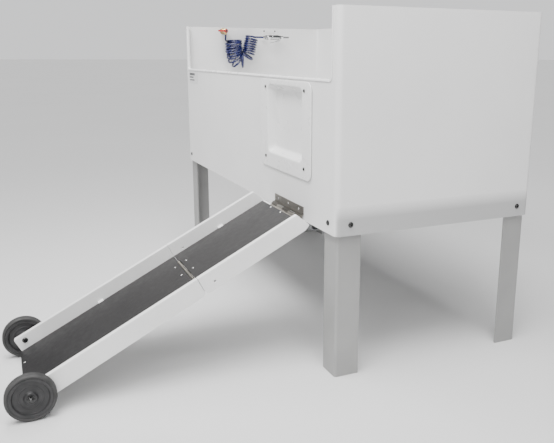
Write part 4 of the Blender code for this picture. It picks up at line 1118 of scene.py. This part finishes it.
def cover_panel(look):
    """The vacuum-formed recess with its rounded rim and four screw holes."""
    face = cover_face()

    def pocket(inset, depth):
        radius = max(POCKET_CORNER_R - 0.35 * inset, 0.006)
        return rectangle_ring(POCKET_CENTRE, POCKET_MOUTH, -inset, radius, 10, face + depth)

    def rim(grow, depth):
        return rectangle_ring(COVER_CENTRE, COVER_SIZE, grow, COVER_CORNER_R + grow, 10, face + depth)

    foot = POCKET_DRAFT + 0.012
    front_line = rounded(((-0.012, 0), (0, 0, 0.007), (POCKET_DRAFT, POCKET_DEPTH, 0.012),
                          (foot, POCKET_DEPTH)), False, 8)
    back_line = rounded(((-0.012, COVER_THICK), (-0.0028, COVER_THICK, 0.003),
                         (POCKET_DRAFT - 0.0028, POCKET_DEPTH + COVER_THICK, 0.009),
                         (foot, POCKET_DEPTH + COVER_THICK)), False, 6)
    edge_line = rounded(((-0.006, COVER_THICK), (0, COVER_THICK, 0.0012), (0, 0, 0.0016), (-0.006, 0)),
                        False, 4)
    rings = [pocket(*spot) for spot in reversed(back_line)]
    rings += [rim(*spot) for spot in edge_line]
    rings += [pocket(*spot) for spot in front_line]
    panel = raw_object("recessed_cover", solid(add_loft, rings))
    holes = [(COVER_HOLE_R, (x, FRONT - 0.02, z), (0, 1, 0), 0.03, 20) for x, _, z in cover_screw_places()]
    carve(panel, solids(add_rod, holes))
    dress(panel, look, "tank", "recess_cover", sharp=60)


def cover(look, seal, bolt):
    """The recessed cover, its seal and its four screws; the seal's dark edge is partly painted shadow."""
    cover_panel(look)
    near, far = cover_face() + COVER_THICK + 0.0002, FRONT - 0.0001
    rings = [rectangle_ring(COVER_CENTRE, COVER_SIZE, -0.004, COVER_CORNER_R - 0.004, 8, y)
             for y in (near, far)]
    rings += [rectangle_ring(POCKET_CENTRE, POCKET_MOUTH, 0.009, POCKET_CORNER_R + 0.009, 8, y)
              for y in (far, near)]
    # partly painted shadow: the black seal shows as a dark line in the gap under the cover's edge
    piece("cover_seal_and_shadow_line", solid(add_loft, rings, closed=True), seal, "tank")
    for number, place in enumerate(cover_screw_places(), 1):
        piece(f"cover_button_{number}",
              solid(add_button_screw, place, (0, -1, 0), 0.0060, 0.0034, 0.0025, 0.0130),
              bolt, "tank", f"cover_screw_{number}")


def data_plate(film, ink):
    """A blank rating plate with plain printed bars."""
    low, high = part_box("data_plate")
    centre = ((low.x + high.x) / 2, (low.z + high.z) / 2)
    outline = rounded_rectangle(centre, (high.x - low.x, high.z - low.z), 0.005, 6)
    piece("rating_plate", solid(add_prism, outline, low.y + 0.0002, high.y, "Y"),
          film, "tank", "data_plate", bevel=0.0002)
    bars = ((0.006, 0.100, 0.009, 0.012), (0.006, 0.074, 0.027, 0.007), (0.006, 0.092, 0.042, 0.006))
    for number, (inset, length, drop, height) in enumerate(bars, 1):
        middle = (low.x + inset + length / 2, high.z - drop - height / 2)
        outline = rounded_rectangle(middle, (length, height), 0.001, 3)
        piece(f"rating_bar_{number}", solid(add_prism, outline, low.y, low.y + 0.0003, "Y"), ink, "tank")


# ---------------------------------------------------------------- drain and water supply

def drain_flange(steel):
    """A flanged throat whose floor is pierced as a strainer."""
    seat = DRAIN_HIGH.z - 0.003
    throat = DRAIN_LOW.z
    profile = rounded(((0, seat - 0.0015), (0.0210, seat - 0.0015), (0.0210, throat), (0.0245, throat),
                       (0.0245, seat - 0.0002), (0.0430, seat - 0.0002, 0.0006),
                       (0.0415, seat + 0.003, 0.0012), (0.0225, seat + 0.003, 0.0015),
                       (0.0200, seat + 0.0010, 0.0015), (0, seat + 0.0010)), False, 4)
    flange = raw_object("drain_flange", solid(add_turned, profile, (DRAIN_X, DRAIN_Y, 0), (0, 0, 1), 64))
    holes = []
    for reach, count in ((0.0, 1), (0.0070, 6), (0.0140, 12)):
        for across, along in circle_xy(reach, count):
            place = (DRAIN_X + across, DRAIN_Y + along, seat - 0.01)
            holes.append((0.0021, place, (0, 0, 1), 0.02, 16))
    carve(flange, solids(add_rod, holes))
    dress(flange, steel, "tank", "drain_strainer")


def drain_bend(plastic):
    """The backnut, and the hollow pipe that bends towards the valve with a collar at each end."""
    throat = DRAIN_LOW.z
    nut = rounded(((0.0250, 0, 0.001), (0.0385, 0, 0.001), (0.0385, 0.009, 0.001),
                   (0.0250, 0.009, 0.001)), True, 2)
    nut_place = (DRAIN_X, DRAIN_Y, throat + 0.0095)
    piece("drain_backnut", solid(add_turned, nut, nut_place, (0, 0, 1), 64, ring=True), plastic, "tank")
    frames = [(Vector((DRAIN_X, DRAIN_Y, throat - GAP)), Vector((1, 0, 0)))]
    for i in range(13):
        angle = math.radians(180 + 7.5 * i)
        point = (DRAIN_X + DRAIN_BEND + DRAIN_BEND * math.cos(angle), DRAIN_Y,
                 DRAIN_Z + DRAIN_BEND + DRAIN_BEND * math.sin(angle))
        frames.append((Vector(point), Vector((-math.cos(angle), 0, -math.sin(angle)))))
    frames.append((Vector((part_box("drain_pipe")[1].x, DRAIN_Y, DRAIN_Z)), Vector((0, 0, 1))))
    side = Vector((0, 1, 0))
    rings = [[p + a * u + side * v for u, v in circle_xy(DRAIN_PIPE_R, 40)] for p, a in frames]
    rings += [[p + a * u + side * v for u, v in circle_xy(DRAIN_BORE_R, 40)] for p, a in reversed(frames)]
    piece("drain_bend", solid(add_loft, rings, closed=True), plastic, "tank", "drain_pipe", sharp=40)
    sockets = (((DRAIN_X, DRAIN_Y, throat - GAP), (0, 0, -1), 0.012),
               ((DRAIN_X + DRAIN_BEND + 0.008, DRAIN_Y, DRAIN_Z), (1, 0, 0), 0.020))
    for number, (place, direction, length) in enumerate(sockets, 1):
        socket = rounded(((0.0238, 0, 0.0004), (0.0252, 0, 0.0005), (0.0252, length, 0.0005),
                          (0.0238, length, 0.0004)), True, 2)
        piece(f"drain_socket_{number}", solid(add_turned, socket, place, direction, 48, ring=True),
              plastic, "tank")


def drain_union(plastic, seal):
    """The union's ring and its washer."""
    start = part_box("drain_union")[0].x
    ring = rounded(((DRAIN_BORE_R, 0, 0.0005), (0.0265, 0, 0.0015), (0.0265, 0.008, 0.0015),
                    (DRAIN_BORE_R, 0.008, 0.0005)), True, 4)
    piece("drain_union_ring",
          solid(add_turned, ring, (start, DRAIN_Y, DRAIN_Z), (1, 0, 0), 48, ring=True),
          plastic, "tank", "drain_union")
    piece("drain_union_seal",
          solid(add_washer, 0.0238, 0.0258, 0.0030, (start - 0.0032, DRAIN_Y, DRAIN_Z), (1, 0, 0)),
          seal, "tank")


def drain_valve(plastic):
    """The valve's body with its barbed outlet, and its two lobed rings."""
    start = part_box("drain_valve_body")[0].x
    profile = rounded(((0, 0), (0.0240, 0, 0.0008), (0.0240, 0.010, 0.0015), (0.0290, 0.014, 0.0015),
                       (0.0290, 0.050, 0.0015), (0.0240, 0.054, 0.0015), (0.0240, 0.064, 0.0008),
                       (0.0205, 0.065, 0.0004), (0.0210, 0.070, 0.0004), (0.0205, 0.072, 0.0004),
                       (0.0210, 0.078, 0.0004), (0.0205, 0.080, 0.0004), (0.0210, 0.087, 0.001),
                       (0.0200, 0.090, 0.0008), (0.0170, 0.090, 0.0006), (0.0170, 0.066), (0, 0.066)),
                      False, 3)
    piece("drain_valve", solid(add_turned, profile, (start, DRAIN_Y, DRAIN_Z), (1, 0, 0), 56),
          plastic, "tank", "drain_valve_body")
    ring = ((0.0242, 0), (0.0268, 0, True), (0.0278, 0.0008, True), (0.0278, 0.0070, True),
            (0.0268, 0.0078, True), (0.0242, 0.0078))
    for number, along in ((1, 0.0016), (2, 0.0555)):
        place = (start + along, DRAIN_Y, DRAIN_Z)
        piece(f"drain_valve_nut_{number}",
              solid(add_turned, ring, place, (1, 0, 0), 120, ring=True, lobes=(12, 0.07)),
              plastic, "tank")


def drain_lever(red, bolt):
    """A waisted blade on a round boss, with its screw."""
    pivot = Vector(joint_place("drain_valve_turn"))
    boss = rounded(((0, 0), (0.0088, 0, 0.0005), (0.0088, 0.0115, 0.0012), (0, 0.0115)), False, 4)
    lever = raw_object("drain_handle", solid(add_turned, boss, pivot, (0, 1, 0), 40))
    x, z = pivot.x, pivot.z
    blade = rounded(((x - 0.0060, z - 0.002, 0.001), (x + 0.0060, z - 0.002, 0.001),
                     (x + 0.0048, z + 0.030, 0.020), (x + 0.0062, z + 0.060, 0.006),
                     (x - 0.0062, z + 0.060, 0.006), (x - 0.0048, z + 0.030, 0.020)), True, 6)
    carve(lever, solid(add_prism, blade, pivot.y + 0.003, pivot.y + 0.008, "Y"), operation="UNION")
    dress(lever, red, "drain_handle", "drain_lever", bevel=0.0007)
    place = pivot + Vector((0, 0.0115, 0))
    piece("drain_handle_screw",
          solid(add_button_screw, place, (0, 1, 0), 0.0045, 0.0020, 0.002, 0.002, "cross"),
          bolt, "drain_handle")


def joint_place(name):
    """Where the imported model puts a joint."""
    return next(j["pos_m"] for j in frame["joints"] if j["name"] == name)


def inlet_fitting(brass, seal, y, z):
    """The bulkhead fitting through the left wall, with its seal and nut inside."""
    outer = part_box("inlet_bulkhead")[0].x
    profile = rounded(((0, 0.017), (0.0075, 0.017), (0.0075, 0.0007, 0.0003), (0.0083, 0, 0.0003),
                       (0.0158, 0, 0.0008), (0.0158, 0.0045, 0.0008), (0.0104, 0.0050),
                       (0.0104, 0.034, 0.0006), (0, 0.034)), False, 3)
    piece("inlet_flange", solid(add_turned, profile, (outer, y, z), (1, 0, 0), 56),
          brass, "tank", "inlet_bulkhead")
    inner = LEFT + WALL
    piece("inlet_seal", solid(add_washer, 0.0108, 0.0170, 0.0015, (inner + GAP, y, z), (1, 0, 0)),
          seal, "tank")
    piece("inlet_nut", solid(add_nut, 0.0140, 0.0060, 0.0106, (inner + 0.0021, y, z), (1, 0, 0)),
          brass, "tank")


def inlet_valve(brass, y, z):
    """The angle valve's body, joined with its hose tail."""
    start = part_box("inlet_valve_body")[0].x
    profile = rounded(((0, 0), (0.0115, 0, 0.0005), (0.0130, 0.0012, 0.0004), (0.0130, 0.0080, 0.0006),
                       (0.0112, 0.0094, 0.0008), (0.0112, 0.0240, 0.0010), (0.0128, 0.0255, 0.0006),
                       (0.0128, 0.0335, 0.0010), (0.0086, 0.0378, 0.0008), (0.0086, 0.0410), (0, 0.0410)),
                      False, 4)
    body = raw_object("inlet_valve", solid(add_turned, profile, (start, y, z), (1, 0, 0), 48))
    tail = rounded(((0, 0), (0.0066, 0), (0.0066, 0.0120, 0.0005), (0.0056, 0.0128, 0.0003),
                    (0.0069, 0.0142, 0.0004), (0.0069, 0.0188, 0.0008), (0.0060, 0.0200, 0.0003),
                    (0, 0.0200)), False, 3)
    carve(body, solid(add_turned, tail, (HOSE_X, y, z), (0, 0, -1), 40), operation="UNION")
    dress(body, brass, "tank", "inlet_valve_body")


def inlet_lever(red, bolt, y, z):
    """A flat lever with a round head, and its screw."""
    pivot = Vector(joint_place("inlet_valve_turn"))
    outline = rounded(((-0.046, -0.0044, 0.003), (-0.046, 0.0044, 0.003), (-0.012, 0.0050, 0.010),
                       (-0.004, 0.0092, 0.004), (0.009, 0.0090, 0.0085), (0.009, -0.0090, 0.0085),
                       (-0.004, -0.0092, 0.004), (-0.012, -0.0050, 0.010)), True, 6)
    outline = [(y + a, z + b) for a, b in outline]
    piece("inlet_handle_lever", solid(add_prism, outline, pivot.x, pivot.x + 0.005, "X"),
          red, "inlet_handle", "inlet_lever", bevel=0.0008)
    place = pivot + Vector((0.005, 0, 0))
    piece("inlet_handle_screw",
          solid(add_button_screw, place, (1, 0, 0), 0.0050, 0.0022, 0.002, 0.003, "cross"),
          bolt, "inlet_handle")


# ---------------------------------------------------------------- hinges

def knuckle_span(number):
    """Return the ends in x of one knuckle."""
    step = HINGE_LENGTH / KNUCKLES
    start = RAMP_X - HINGE_LENGTH / 2 + number * step
    return start, start + step


def leaf_outline(centre, along, normal):
    """A hinge leaf's end view: a flat leaf that runs into a round barrel."""
    low, high = -0.0013, 0.0012
    centre, along, normal = Vector(centre), Vector(along), Vector(normal)
    outline = [centre + along * HINGE_LEAF + normal * high, centre + along * HINGE_LEAF + normal * low]
    first = math.asin(low / BARREL_R)
    last = math.asin(high / BARREL_R) - 2 * math.pi
    for i in range(31):
        angle = first + (last - first) * i / 30
        outline.append(centre + along * (BARREL_R * math.cos(angle)) + normal * (BARREL_R * math.sin(angle)))
    return [tuple(point) for point in outline]


def hinge_leaf(name, outline, centre, keeps, gap_box, look, body, node, place=None, sinks=()):
    """Extrude a leaf, cut the other leaf's knuckles, the bore and the screw sinks from it."""
    start, end = RAMP_X - HINGE_LENGTH / 2, RAMP_X + HINGE_LENGTH / 2
    leaf = raw_object(name, solid(add_prism, outline, start, end, "X"))
    gaps = []
    for number in range(KNUCKLES):
        if number not in keeps:
            low, high = knuckle_span(number)
            low -= 0.01 if number == 0 else 0.0004
            high += 0.01 if number == KNUCKLES - 1 else 0.0004
            gaps.append(((low, *gap_box[0]), (high, *gap_box[1])))
    carve(leaf, solids(add_box, gaps))
    carve(leaf, solid(add_rod, PIN_BORE_R, (start - 0.01, *centre), (1, 0, 0), HINGE_LENGTH + 0.02, 32))
    sink = ((0, -0.0030), (0.0018, -0.0030), (0.0018, -0.0018), (0.0050, 0.0002), (0.0050, 0.002),
            (0, 0.002))
    carve(leaf, solids(add_turned, [(sink, point, direction, 28) for point, direction in sinks]))
    if place:
        leaf.data.transform(place)
    dress(leaf, look, body, node, bevel=0.00035)


def tank_hinge(steel, light, bright):
    """The hinge between the tank's front and the ramp: two leaves, three screws and a pin."""
    pin = RAMP_PLACE @ Vector((0, PIN_S, PIN_H))
    plate_back = FRONT - GAP
    plate_front = plate_back - 0.0025
    top = SKIRT_Z + 0.049
    joggle = pin.z + 0.0105
    outline = [(plate_back, top), (plate_front, top), (plate_front, joggle + 0.0005),
               (pin.y + 0.0005, pin.z + 0.0075)]
    for i in range(25):
        angle = math.radians(95 + 305 * i / 24)
        outline.append((pin.y + BARREL_R * math.cos(angle), pin.z + BARREL_R * math.sin(angle)))
    outline += [(pin.y + 0.0058, pin.z + 0.0060), (plate_back, joggle - 0.0005)]
    reach = BARREL_R + 0.0009
    gap_box = ((pin.y - reach, pin.z - reach), (FRONT + 0.01, pin.z + 0.0078))
    spots = [((RAMP_X + x, plate_front, SKIRT_Z + 0.036), (0, -1, 0)) for x in HINGE_SCREWS]
    hinge_leaf("tank_hinge_leaf_fixed", outline, (pin.y, pin.z), (0, 2, 4), gap_box, steel, "tank",
               "tank_hinge_fixed_leaf", sinks=spots)
    for number, (point, direction) in enumerate(spots, 1):
        piece(f"tank_hinge_screw_{number}", solid(add_flat_screw, point, direction, 0.0046), bright, "tank")
    shape = leaf_outline((PIN_S, PIN_H), (-1, 0), (0, 1))
    gap_box = ((PIN_S - reach, PIN_H - reach), (PIN_S + reach, PIN_H + reach))
    # the moving leaf on the ramp takes the lighter copy of the same steel: painted light
    hinge_leaf("tank_hinge_leaf_moving", shape, (PIN_S, PIN_H), (1, 3), gap_box, light, "ramp_upper",
               "tank_hinge_moving_leaf", RAMP_PLACE)
    hinge_pin("tank_hinge_rod", pin, steel, "tank", "tank_hinge_pin")


def hinge_pin(name, pin, look, body, node):
    """A plain pin with eased ends, as long as its hinge."""
    profile = rounded(((0, 0), (PIN_R, 0, 0.0006), (PIN_R, HINGE_LENGTH, 0.0006), (0, HINGE_LENGTH)),
                      False, 3)
    start = (RAMP_X - HINGE_LENGTH / 2, pin.y, pin.z)
    piece(name, solid(add_turned, profile, start, (1, 0, 0), 28), look, body, node)


def fold_hinge(steel, bright):
    """The hinge between the ramp's two sections, and the four rows of deck screws."""
    reach = BARREL_R + 0.0009
    gap_box = ((FOLD_S - reach, PIN_H - reach), (FOLD_S + reach, PIN_H + reach))
    for name, side, keeps, body in (("fold_hinge_upper_leaf", 1, (0, 2, 4), "ramp_upper"),
                                    ("fold_hinge_lower_leaf", -1, (1, 3), "ramp_lower")):
        shape = leaf_outline((FOLD_S, PIN_H), (side, 0), (0, 1))
        hinge_leaf(f"{name}_plate", shape, (FOLD_S, PIN_H), keeps, gap_box, steel, body, name, RAMP_PLACE)
    pin = RAMP_PLACE @ Vector((0, FOLD_S, PIN_H))
    hinge_pin("fold_hinge_rod", pin, steel, "ramp_upper", "fold_hinge_pin")
    for prefix, s, body in (("deck_screw_top", PIN_S - 0.024, "ramp_upper"),
                            ("deck_screw_fold", FOLD_S + 0.024, "ramp_upper"),
                            ("deck_screw_lower", FOLD_S - 0.024, "ramp_lower"),
                            ("deck_screw_end", RAMP_END_S + 0.012, "ramp_lower")):
        for number, x in enumerate(HINGE_SCREWS, 1):
            place = (RAMP_X + x, s, MAT_TOP)
            piece(f"{prefix}_{number}",
                  solid(add_button_screw, place, (0, 0, 1), 0.0044, 0.0016, 0.0018, 0.004, "cross"),
                  bright, body, place=RAMP_PLACE)


# ---------------------------------------------------------------- ramp

def rail_outlines():
    """Return (section, body, outline in s and h, hole place, hole radius) for both rail lengths."""
    end = RAMP_END_S + 0.005
    upper = ((-0.035, RAIL_LOW, 0.002), (-0.0135, 0.0130, 0.001), (-0.0135, 0.0165, 0.001),
             (-0.037, RAIL_HIGH, 0.004), (FOLD_S + 2 * GAP, RAIL_HIGH, 0.0015), (FOLD_S + 2 * GAP, PIN_H),
             (FOLD_S + FOLD_RELIEF, RAIL_LOW))
    lower = ((FOLD_S - 2 * GAP, RAIL_HIGH, 0.0015), (FOLD_S - 2 * GAP, PIN_H),
             (FOLD_S - FOLD_RELIEF, RAIL_LOW), (end, RAIL_LOW, 0.006), (end, RAIL_HIGH, 0.005))
    return (("upper", "ramp_upper", rounded(upper), STOW_HOLE, STOW_HOLE_R),
            ("lower", "ramp_lower", rounded(lower), (AXLE_S, axle_height()), AXLE_HOLE_R))


def axle_height():
    """The axle's height in the ramp's own frame."""
    return (RAMP_PLACE.inverted() @ Vector(joint_place("left_wheel_spin"))).z


def rails(look):
    """Four side boards, each with its hole."""
    for side, start in (("left", RAMP_LEFT_X), ("right", RAMP_RIGHT_X - RAIL_THICK)):
        for section, body, outline, hole, radius in rail_outlines():
            rail = raw_object(f"{section}_side_board_{side}",
                              solid(add_prism, outline, start, start + RAIL_THICK, "X"))
            carve(rail, solid(add_rod, radius, (start - 0.01, *hole), (1, 0, 0), RAIL_THICK + 0.02, 36))
            rail.data.transform(RAMP_PLACE)
            dress(rail, look, body, f"{section}_rail_{side}", bevel=0.0012)


def deck(section, body, outline, hinges, look):
    """One deck board, with a seat for each hinge leaf and a slot for its barrel."""
    half = HINGE_LENGTH / 2 + 0.0005
    board = raw_object(f"{section}_deck_board", solid(add_prism, rounded(outline), DECK_LEFT, DECK_RIGHT,
                                                      "X"))
    for pin_s, side in hinges:
        start, end = sorted((pin_s - side * 0.004, pin_s + side * (HINGE_LEAF + 0.0005)))
        carve(board, solid(add_box, (RAMP_X - half, start, PIN_H - 0.0013 - GAP),
                           (RAMP_X + half, end, DECK_TOP + 0.01)))
        carve(board, solid(add_box, (RAMP_X - half, pin_s - 0.0064, RAIL_LOW - 0.01),
                           (RAMP_X + half, pin_s + 0.0064, DECK_TOP + 0.02)))
    board.data.transform(RAMP_PLACE)
    dress(board, look, body, f"{section}_deck", bevel=0.0006)


def mat(section, body, top_s, end_s, look):
    """One rubber mat, cut back round the fold hinge's barrel."""
    half = HINGE_LENGTH / 2 + 0.0005
    sheet = raw_object(f"{section}_rubber_mat",
                       solid(add_box, (DECK_LEFT + 0.001, end_s, DECK_TOP + GAP),
                             (DECK_RIGHT - 0.001, top_s, MAT_TOP)))
    carve(sheet, solid(add_box, (RAMP_X - half, FOLD_S - 0.0062, DECK_TOP - 0.01),
                       (RAMP_X + half, FOLD_S + 0.0062, MAT_TOP + 0.01)))
    sheet.data.transform(RAMP_PLACE)
    dress(sheet, look, body, f"{section}_mat", bevel=0.0012)


def decks_and_mats(board, rubber):
    """Both sections of the ramp's deck, each with its mat."""
    top_s, end_s = -0.0135, FOLD_S + 2 * GAP
    outline = ((top_s, DECK_TOP), (top_s, RAIL_LOW, 0.003), (end_s + FOLD_RELIEF, RAIL_LOW),
               (end_s, PIN_H), (end_s, DECK_TOP))
    deck("upper", "ramp_upper", outline, ((PIN_S, -1), (FOLD_S, 1)), board)
    mat("upper", "ramp_upper", top_s - MAT_SETBACK, end_s, rubber)
    top_s, end_s = FOLD_S - 2 * GAP, RAMP_END_S
    outline = ((top_s, DECK_TOP), (top_s, PIN_H), (top_s - FOLD_RELIEF, RAIL_LOW),
               (end_s, RAIL_LOW, 0.004), (end_s, DECK_TOP, 0.001))
    deck("lower", "ramp_lower", outline, ((FOLD_S, -1),), board)
    mat("lower", "ramp_lower", top_s, end_s, rubber)


def mat_clips(board):
    """Small blocks at the foot of the rails that hold the mats' edges down."""
    for side, start, out in (("left", DECK_LEFT, 1), ("right", DECK_RIGHT, -1)):
        outline = rounded(((start, MAT_TOP + GAP), (start + out * 0.010, MAT_TOP + GAP, 0.001),
                           (start + out * 0.010, MAT_TOP + 0.004, 0.002), (start, MAT_TOP + 0.007)),
                          True, 4)
        for section, s, body in (("upper", -0.220, "ramp_upper"), ("lower", -0.744, "ramp_lower")):
            rings = [[(x, s + along, h) for x, h in outline] for along in (-0.011, 0.011)]
            piece(f"{section}_mat_clip_{side}", solid(add_loft, rings), board, body,
                  place=RAMP_PLACE, bevel=0.0007)


def mirrored(half):
    """Return a closed profile from one half of it, given from its first face to its middle."""
    return rounded(tuple(half) + tuple((r, -z, ease) for r, z, ease in reversed(half)), True, 3)


def hub_and_tyre(side, centre, direction, hub_look, tyre_look):
    """A moulded hub with a webbed face, and the grooved tyre round it."""
    rim = WHEEL_R - TYRE_DEPTH
    face = ((AXLE_HOLE_R, 0.0150, 0.0004), (0.0175, 0.0150, 0.0015), (0.0215, 0.0075, 0.002),
            (0.0330, 0.0048, 0.002), (0.0345, 0.0060, 0.0006), (0.0375, 0.0060, 0.0006),
            (0.0390, 0.0048, 0.002), (0.0520, 0.0048, 0.0030), (0.0550, 0.0128, 0.0012),
            (rim - 0.0035, 0.0135, 0.0008), (rim, 0.0135, 0.0006))
    piece(f"{side}_hub", solid(add_turned, mirrored(face), centre, direction, 72, ring=True),
          hub_look, f"{side}_wheel", f"{side}_wheel_hub")
    groove = WHEEL_R - 0.0011
    tread = ((rim + GAP, -0.0130, 0.0004), (rim + 0.004, -WHEEL_HALF, 0.0020),
             (WHEEL_R - 0.0045, -WHEEL_HALF, 0.0034), (WHEEL_R, -0.0100, 0.0030),
             (WHEEL_R, -0.0058, 0.0003), (groove, -0.0052, 0.0003), (groove, -0.0044, 0.0003),
             (WHEEL_R, -0.0038, 0.0003))
    piece(f"{side}_tyre_ring", solid(add_turned, mirrored(tread), centre, direction, 96, ring=True),
          tyre_look, f"{side}_wheel", f"{side}_tyre")


def axle_screw(place, inward, shank):
    """A domed screw with a hexagon drive, its head inside the rail."""
    head, head_r = RAIL_THICK, 0.0100
    profile = [(0, -shank), (0.0048, -shank), (AXLE_R, -shank + 0.0014), (AXLE_R, head + GAP),
               (head_r, head + GAP), (head_r, head + 0.0012)]
    for i in range(1, 6):
        angle = math.radians(14 * i)
        profile.append((head_r * (0.42 + 0.58 * math.cos(angle)), head + 0.0010 + 0.0048 * math.sin(angle)))
    return solid(add_driven_head, profile, "hex", 0.0034, 0.0030, place, inward)


def wheels(hub_look, tyre_look, bolt, board):
    """Both wheels, each with its spacer, washer, lock nut and axle screw."""
    for side, out, rail_face in (("left", -1, RAMP_LEFT_X), ("right", 1, RAMP_RIGHT_X)):
        centre = Vector(joint_place(f"{side}_wheel_spin"))
        direction = (out, 0, 0)
        hub_and_tyre(side, centre, direction, hub_look, tyre_look)
        face = Vector((rail_face, centre.y, centre.z))
        outward = Vector(direction)
        reach = abs(centre.x - rail_face) + WHEEL_HALF
        piece(f"{side}_wheel_spacer",
              solid(add_washer, AXLE_HOLE_R, 0.0115, 0.0034, face + outward * GAP, direction),
              board, "ramp_lower")
        piece(f"{side}_wheel_washer",
              solid(add_washer, AXLE_HOLE_R, 0.0120, 0.0016, face + outward * (reach + GAP), direction),
              bolt, "ramp_lower")
        piece(f"{side}_wheel_nut",
              solid(add_nut, 0.0095, 0.0062, 0.0062, face + outward * (reach + 0.0021), direction, 0.0022),
              bolt, "ramp_lower")
        piece(f"{side}_axle_screw", axle_screw(face, -outward, reach + 0.0125), bolt, "ramp_lower",
              f"{side}_axle_bolt")


def main():
    """Build every piece, then the studio."""
    camera()
    hose()
    sheet, board = sheet_plastic(), board_plastic()
    steel, bolt, brass, chrome = brushed_steel(), bolt_steel(), brass_metal(), chrome_metal()
    seal, pipe, red = seal_rubber(), pipe_plastic(), lever_plastic()
    weld, moulded = weld_plastic(), moulded_plastic()
    gun(chrome)
    gun_hook(moulded, bolt)
    tank_walls(sheet)
    rim_edging(moulded)
    floor_and_ribs(sheet)
    welds(weld)
    legs(leg_plastic())
    leg_fixings(bolt)
    cover(moulded, seal, bolt)
    data_plate(film_plastic("film", (0.66, 0.66, 0.66), (0.72, 0.72, 0.72)),
               film_plastic("ink", (0.03, 0.03, 0.035), (0.06, 0.06, 0.065)))
    drain_flange(steel)
    drain_bend(pipe)
    drain_union(pipe, seal)
    drain_valve(pipe)
    drain_lever(red, bolt)
    inlet_z = (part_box("inlet_bulkhead")[0].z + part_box("inlet_bulkhead")[1].z) / 2
    inlet_fitting(brass, seal, INLET_Y, inlet_z)
    inlet_valve(brass, INLET_Y, inlet_z)
    inlet_lever(red, bolt, INLET_Y, inlet_z)
    # painted light: the ramp's hinge parts take a lighter copy of the steel than the tank's leaf
    light, bright = brushed_steel("light", 2.6), bright_steel()
    tank_hinge(steel, light, bright)
    fold_hinge(light, bright)
    rails(board)
    decks_and_mats(board, mat_rubber())
    mat_clips(board)
    wheels(hub_plastic(), tyre_rubber(), bolt, board)
    studio()
    bpy.context.view_layer.update()


main()
